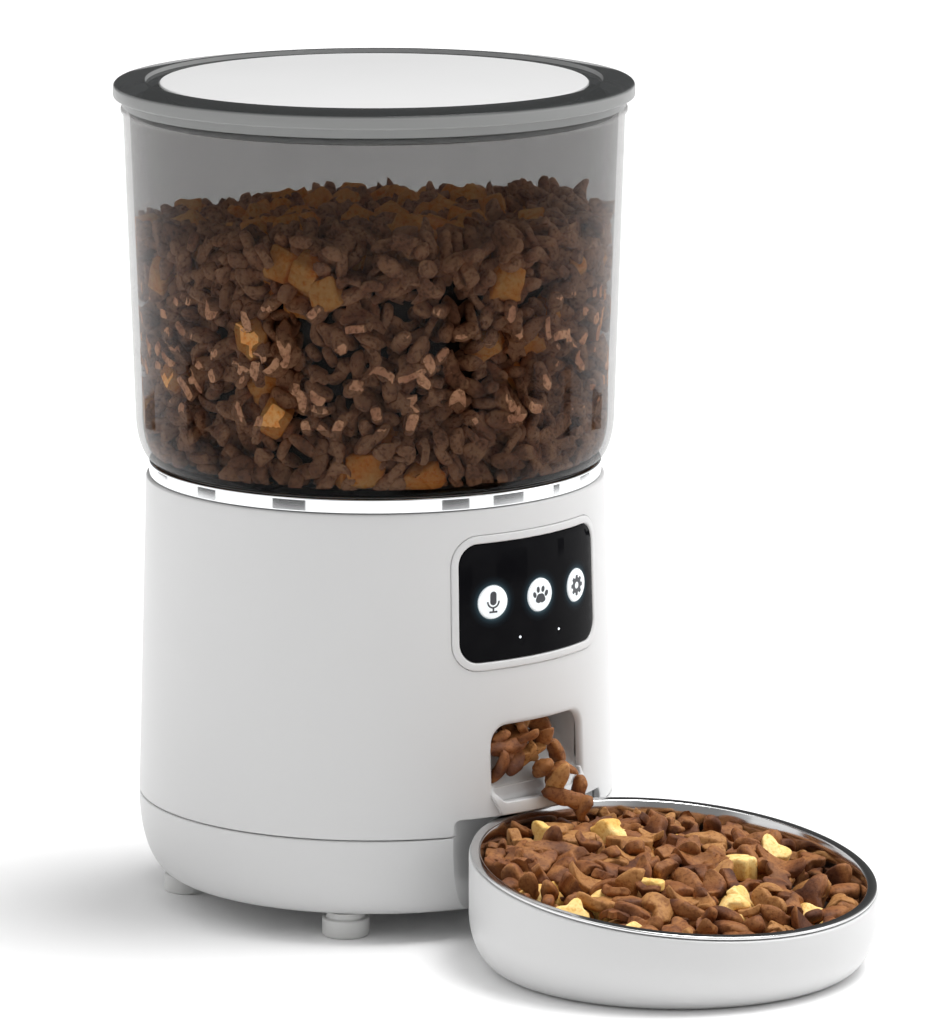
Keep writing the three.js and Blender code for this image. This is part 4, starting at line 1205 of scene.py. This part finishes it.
rng = np.random.default_rng(20)
shell_spots = scattered(rng, SHELL_COUNT, lambda even: 88 - 22 * even, 172, 264)
top_spots = scattered(rng, TOP_COUNT, lambda even: 70 * np.sqrt(even), 250, 262)
tank_spots = np.vstack([shell_spots, top_spots])
tank_kinds = choose(rng, len(tank_spots), {
    ("lens", "brown"): 50, ("tri", "brown"): 14, ("star", "brown"): 12, ("fold", "brown"): 12,
    ("bar", "brown"): 8, ("chunk", "golden"): 2.6,
})
for index in range(SHELL_COUNT, SHELL_COUNT + TOP_COUNT):
    if rng.uniform() < 0.12:
        tank_kinds[index] = ("chunk", "golden")
tank_radii = sized(rng, tank_kinds, (6.8, 8.0), (4.3, 6.2))
tank_spots = settle(tank_spots, 0.72 * tank_radii, in_hopper, 24, 0.86)


def inside_hopper(points):
    """Presses any part of a piece that would pass the wall or the floor flat against it."""
    points = points.copy()
    points[:, 2] = np.maximum(points[:, 2], FOOD_FLOOR)
    distance = np.hypot(points[:, 0], points[:, 1])
    scale = np.minimum(1, (inner_radius(points[:, 2]) - 0.25) / np.maximum(distance, 1e-3))
    points[:, :2] *= scale[:, None]
    return points


pour("hopper_food", tank_spots, tank_radii, tank_kinds, spin, 4,
     {"brown": TANK_BROWN_PAINTED_LIGHTER, "golden": TANK_GOLDEN_PAINTED_LIGHTER}, "hopper", inside_hopper, 5, parts=5)
# The lump is near-black: painted shade seen between the pieces.
lump = rounded([
    (0, 172.4, 0), (CORNER_RADIUS - 18, 172.4, 6), (inner_radius(np.array(190.0)) - 14, 190, 8),
    (inner_radius(np.array(240.0)) - 14, FOOD_LEVEL - 16, 5), (50, FOOD_LEVEL - 11, 8),
    (0, FOOD_LEVEL - 10, 0),
], closed=False)
lathe("hopper_food_heart", lump, GAP_SHADE, "hopper", closed=False, segments=96)

# The bowl's food: a heap that follows the tilted rim, with the larger golden chunks on top.


BOWL_COUNT = 285


def toward_rim(distance):
    """0 over the heap's middle, rising to 1 by the bowl's side."""
    return np.clip((distance - 52) / 16, 0, 1)


def heap_top(distance):
    return 0.5 + 3.0 * np.clip(1 - (distance / 60) ** 2, 0, 1) - 3.2 * toward_rim(distance)


def bowl_limit(height, side):
    """Inner radius of the bowl at a height over its rim plane, given that of its side."""
    drop = np.clip((BOWL_CURVE_TOP - height) / BOWL_INNER_RISE, 0, 1)
    return np.where(height > BOWL_CURVE_TOP, side, BOWL_CURVE_RADIUS + 16 * np.sqrt(1 - drop ** 2))


def in_bowl(spots, radii):
    spots = spots.copy()
    distance = np.hypot(spots[:, 0], spots[:, 1])
    reach = 0.68 * radii
    outer = bowl_limit(spots[:, 2], 70.0)
    scale = np.minimum(1, (outer - reach) / np.maximum(distance, 1e-3))
    spots[:, :2] *= scale[:, None]
    ceiling = heap_top(distance * scale) - 0.55 * radii
    spots[:, 2] = np.clip(spots[:, 2], ceiling - 7, ceiling)
    return spots


rng = np.random.default_rng(31)
bowl_spots = scattered(rng, BOWL_COUNT, lambda even: 66 * np.sqrt(even), -11, 0)
bowl_kinds = choose(rng, BOWL_COUNT, {
    ("lens", "brown"): 12, ("tri", "brown"): 20, ("star", "brown"): 20, ("fold", "brown"): 16,
    ("bar", "brown"): 6, ("tri", "light"): 9, ("star", "light"): 9, ("fold", "light"): 6,
    ("chunk", "golden"): 7, ("tri", "golden"): 2,
})
bowl_radii = sized(rng, bowl_kinds, (6.4, 8.0), (4.6, 8.0))
bowl_spots = settle(bowl_spots, 0.86 * bowl_radii, in_bowl, 34, 0.84)
tilted = np.array([IN_BOWL @ Vector(spot) for spot in bowl_spots])
bowl_finish = {"brown": BROWN, "light": LIGHT_BROWN, "golden": GOLDEN}


def inside_bowl(points):
    """Keeps the pieces off the steel, in the bowl's own tilted frame."""
    turn = np.array(IN_BOWL.to_3x3())
    home = np.array(IN_BOWL.translation)
    local = (points - home) @ turn
    limit = bowl_limit(local[:, 2], 70.1) - 0.3
    distance = np.hypot(local[:, 0], local[:, 1])
    scale = np.minimum(1, limit / np.maximum(distance, 1e-3))
    local[:, :2] *= scale[:, None]
    local[:, 2] = np.clip(local[:, 2], HEAP_FLOOR, 8 - 4 * toward_rim(distance))
    return local @ turn.T + home


pour("bowl_food", tilted, bowl_radii, bowl_kinds, lying, 9, bowl_finish,
     "bowl", inside_bowl, 6, parts=2)
# The pile under the pieces is near-black: painted shade seen in the gaps.
pile = rounded([
    (0, HEAP_FLOOR, 0), (53, HEAP_FLOOR, 0), (65, -16, 4), (66, -11, 2), (40, -9, 6), (0, -8, 0),
], closed=False)
spun("bowl_food_heart", pile, IN_BOWL, GAP_SHADE, "bowl", 96, closed=False)

# Pieces on their way down the outlet into the bowl.

falling = [
    (-15, -86.5, 72, 6.0, "bar"), (-8, -85.5, 75, 6.2, "fold"), (-12.5, -87.5, 66, 5.8, "lens"),
    (-19, -86, 64, 5.6, "bar"), (-3, -86.5, 68, 6.0, "star"), (3.5, -85.5, 72.5, 6.0, "bar"),
    (-18, -84, 75, 5.5, "lens"), (-5, -84, 77, 5.2, "tri"), (9, -88, 67, 5.8, "lens"),
    (-1, -91, 62.5, 6.2, "bar"), (2, -95.5, 57, 6.6, "bar"), (7, -91.5, 60.5, 5.4, "fold"),
    (5, -99, 51, 6.4, "bar"), (12, -97, 53, 5.8, "lens"), (9, -101.5, 46.5, 5.6, "fold"),
    (-12, -82, 72, 5.8, "bar"), (-2, -80, 78, 5.8, "lens"), (8, -80.5, 76.5, 5.6, "fold"),
    (-17, -78, 75.5, 5.8, "bar"), (0, -76, 75, 5.8, "lens"), (-9, -75.5, 79, 5.8, "tri"),
]
falling_spots = np.array([item[:3] for item in falling], float)
falling_radii = np.array([item[3] for item in falling])
falling_kinds = [(item[4], "light" if index % 6 == 4 else "brown")
                 for index, item in enumerate(falling)]
inside_outlet = falling_spots[:, 1] > -90
for name, chosen in (("outlet_food", inside_outlet), ("falling_food", ~inside_outlet)):
    picked = np.flatnonzero(chosen)
    pour(name, falling_spots[picked], falling_radii[picked], [falling_kinds[i] for i in picked],
         spin, 10, bowl_finish, "base", None, 9)

# ------------------------------------------------------------------ inlet and inner parts

IN_BACK = Matrix.Rotation(math.pi, 4, "Z") @ facing(0, 0, INLET_HEIGHT)
inlet_face = housing_radius(INLET_HEIGHT) + 0.3
inlet_profile = rounded([
    (0, 79, 0), (6, 79, 0.4), (6, inlet_face, 0.7), (3.2, inlet_face, 0.5),
    (3.2, inlet_face - 11, 0.3), (1.05, inlet_face - 11, 0.1), (1.05, inlet_face - 5.2, 0.4),
    (0, inlet_face - 5.2, 0),
], closed=False)
spun("inlet_socket", inlet_profile, IN_BACK, BLACK_MATT, "base", 64, closed=False,
     stands_for=["dc_inlet"], slot="matte_black")
carve(bpy.data.objects["housing_wall"], moved(drum(6.3, 80, 96), IN_BACK))
bpy.data.objects["housing_wall"].data.set_sharp_from_angle(angle=math.radians(35))

INNER_FINISH = {
    SILICONE: ["portion_rotor"],
    WHITE_SATIN: ["dispenser_cup", "portion_baffle", "gear_plate", "battery_cover"],
    NYLON: ["rotor_gear", "drive_pinion"],
    PLAIN_STEEL: ["rotor_shaft", "pinion_shaft", "gearhead", "motor_can"],
    BRASS: ["shaft_bush", "battery_contact_left", "battery_contact_right"],
    BOARD: ["panel_board", "main_board"],
    BLACK_MATT: ["record_switch", "feed_switch", "settings_switch", "speaker"],
}
for finish, names in INNER_FINISH.items():
    for node in names:
        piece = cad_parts[node]
        piece.data.materials.clear()
        piece.data.materials.append(finish)
        edge = piece.modifiers.new("edges", "BEVEL")
        edge.width = 0.25 * MM
        edge.segments = 2
        edge.limit_method = "ANGLE"
        edge.angle_limit = math.radians(40)
        edge.harden_normals = False

# ------------------------------------------------------------------ studio

paper = material_graph("studio_floor")
sweep = paper.ramp(paper.noise(1.5, 1), [(0.4, (0.96, 0.96, 0.96)), (0.6, (0.97, 0.97, 0.97))])
ground = bpy.data.meshes.new("floor")
ground.from_pydata([(-30, -30, 0), (30, -30, 0), (30, 30, 0), (-30, 30, 0)], [], [(0, 1, 2, 3)])
ground.materials.append(paper.finish(Base_Color=sweep, Roughness=0.9))
add_object("floor", ground)

# The studio's walls as seen round the horizon: brighter at the sides, dark behind the object.
WALL_LEVELS = [
    (0.00, 0.60), (0.06, 0.28), (0.17, 0.26), (0.28, 0.75), (0.38, 1.15), (0.48, 0.9),
    (0.55, 0.40), (0.61, 0.06), (0.68, 0.10), (0.75, 0.5), (0.84, 1.05), (0.92, 0.95),
]
bpy.context.scene.world = bpy.data.worlds.new("studio")
sky = Graph(bpy.context.scene.world)
bearing = sky.add("TexGradient", {"Vector": sky.add("TexCoord", {}, "Generated")}, "Fac",
                  gradient_type="RADIAL")
walls = sky.ramp(bearing, [(position, (level,) * 3) for position, level in WALL_LEVELS])
walls.node.color_ramp.interpolation = "EASE"
sky.finish(Color=walls, Strength=1.0)


def softbox(name, spot, aim, size, power):
    light = bpy.data.lights.new(name, "AREA")
    light.shape = "RECTANGLE"
    light.size, light.size_y = size
    light.energy = power
    box = add_object(name, light)
    box.location = Vector(spot)
    box.rotation_euler = (Vector(aim) - Vector(spot)).to_track_quat("-Z", "Y").to_euler()


softbox("key", (1.7, -1.2, 1.5), (0, 0, 0.15), (1.2, 1.2), 6)
softbox("top", (0.1, 0.1, 2.2), (0, 0, 0), (1.6, 1.6), 10)

sun = add_object("sun", bpy.data.lights.new("sun", "SUN"))
sun.data.energy = 2.3
sun.data.angle = math.radians(30)
sun.rotation_euler = Vector((-0.25, 0.12, -0.95)).to_track_quat("-Z", "Y").to_euler()

# Dark flags round the object that only its glossy surfaces mirror, as a studio's flags do.
flag_finish = material_graph("studio_flag").finish(
    Base_Color=(0.004, 0.004, 0.004, 1), Roughness=1.0, Specular_IOR_Level=0.0)
FLAG_ARCS = ((-140, -126), (-97, -84), (-50, -33), (33, 47), (60, 78), (99, 104), (124, 136))
FLAG_REACHES = (895, 1010)
for start, end in FLAG_ARCS:
    corners = []
    for step in range(5):
        bearing = math.radians(CAMERA_AZIMUTH + start + (end - start) * step / 4)
        for reach in FLAG_REACHES:
            corners.append(place(reach * math.sin(bearing), -reach * math.cos(bearing), 1))
    flag_mesh = bpy.data.meshes.new("flag")
    flag_mesh.from_pydata(corners, [], [(2 * i, 2 * i + 1, 2 * i + 3, 2 * i + 2) for i in range(4)])
    flag_mesh.materials.append(flag_finish)
    flag = add_object(f"flag_{start + 180}", flag_mesh)
    for kind in ("camera", "diffuse", "transmission", "volume_scatter", "shadow"):
        setattr(flag, f"visible_{kind}", False)

camera = add_object("camera", bpy.data.cameras.new("camera"))
bpy.context.scene.camera = camera
turn, lift = math.radians(CAMERA_AZIMUTH), math.radians(CAMERA_ELEVATION)
back = Vector((math.sin(turn) * math.cos(lift), -math.cos(turn) * math.cos(lift), math.sin(lift)))
camera.location = place(*CAMERA_AIM) + back * CAMERA_DISTANCE * MM
camera.rotation_euler = (-back).to_track_quat("-Z", "Y").to_euler()
camera.data.lens = CAMERA_LENS
camera.data.sensor_width = 36
camera.data.clip_start, camera.data.clip_end = 0.1, 100
bpy.context.scene.view_settings.view_transform = "Standard"
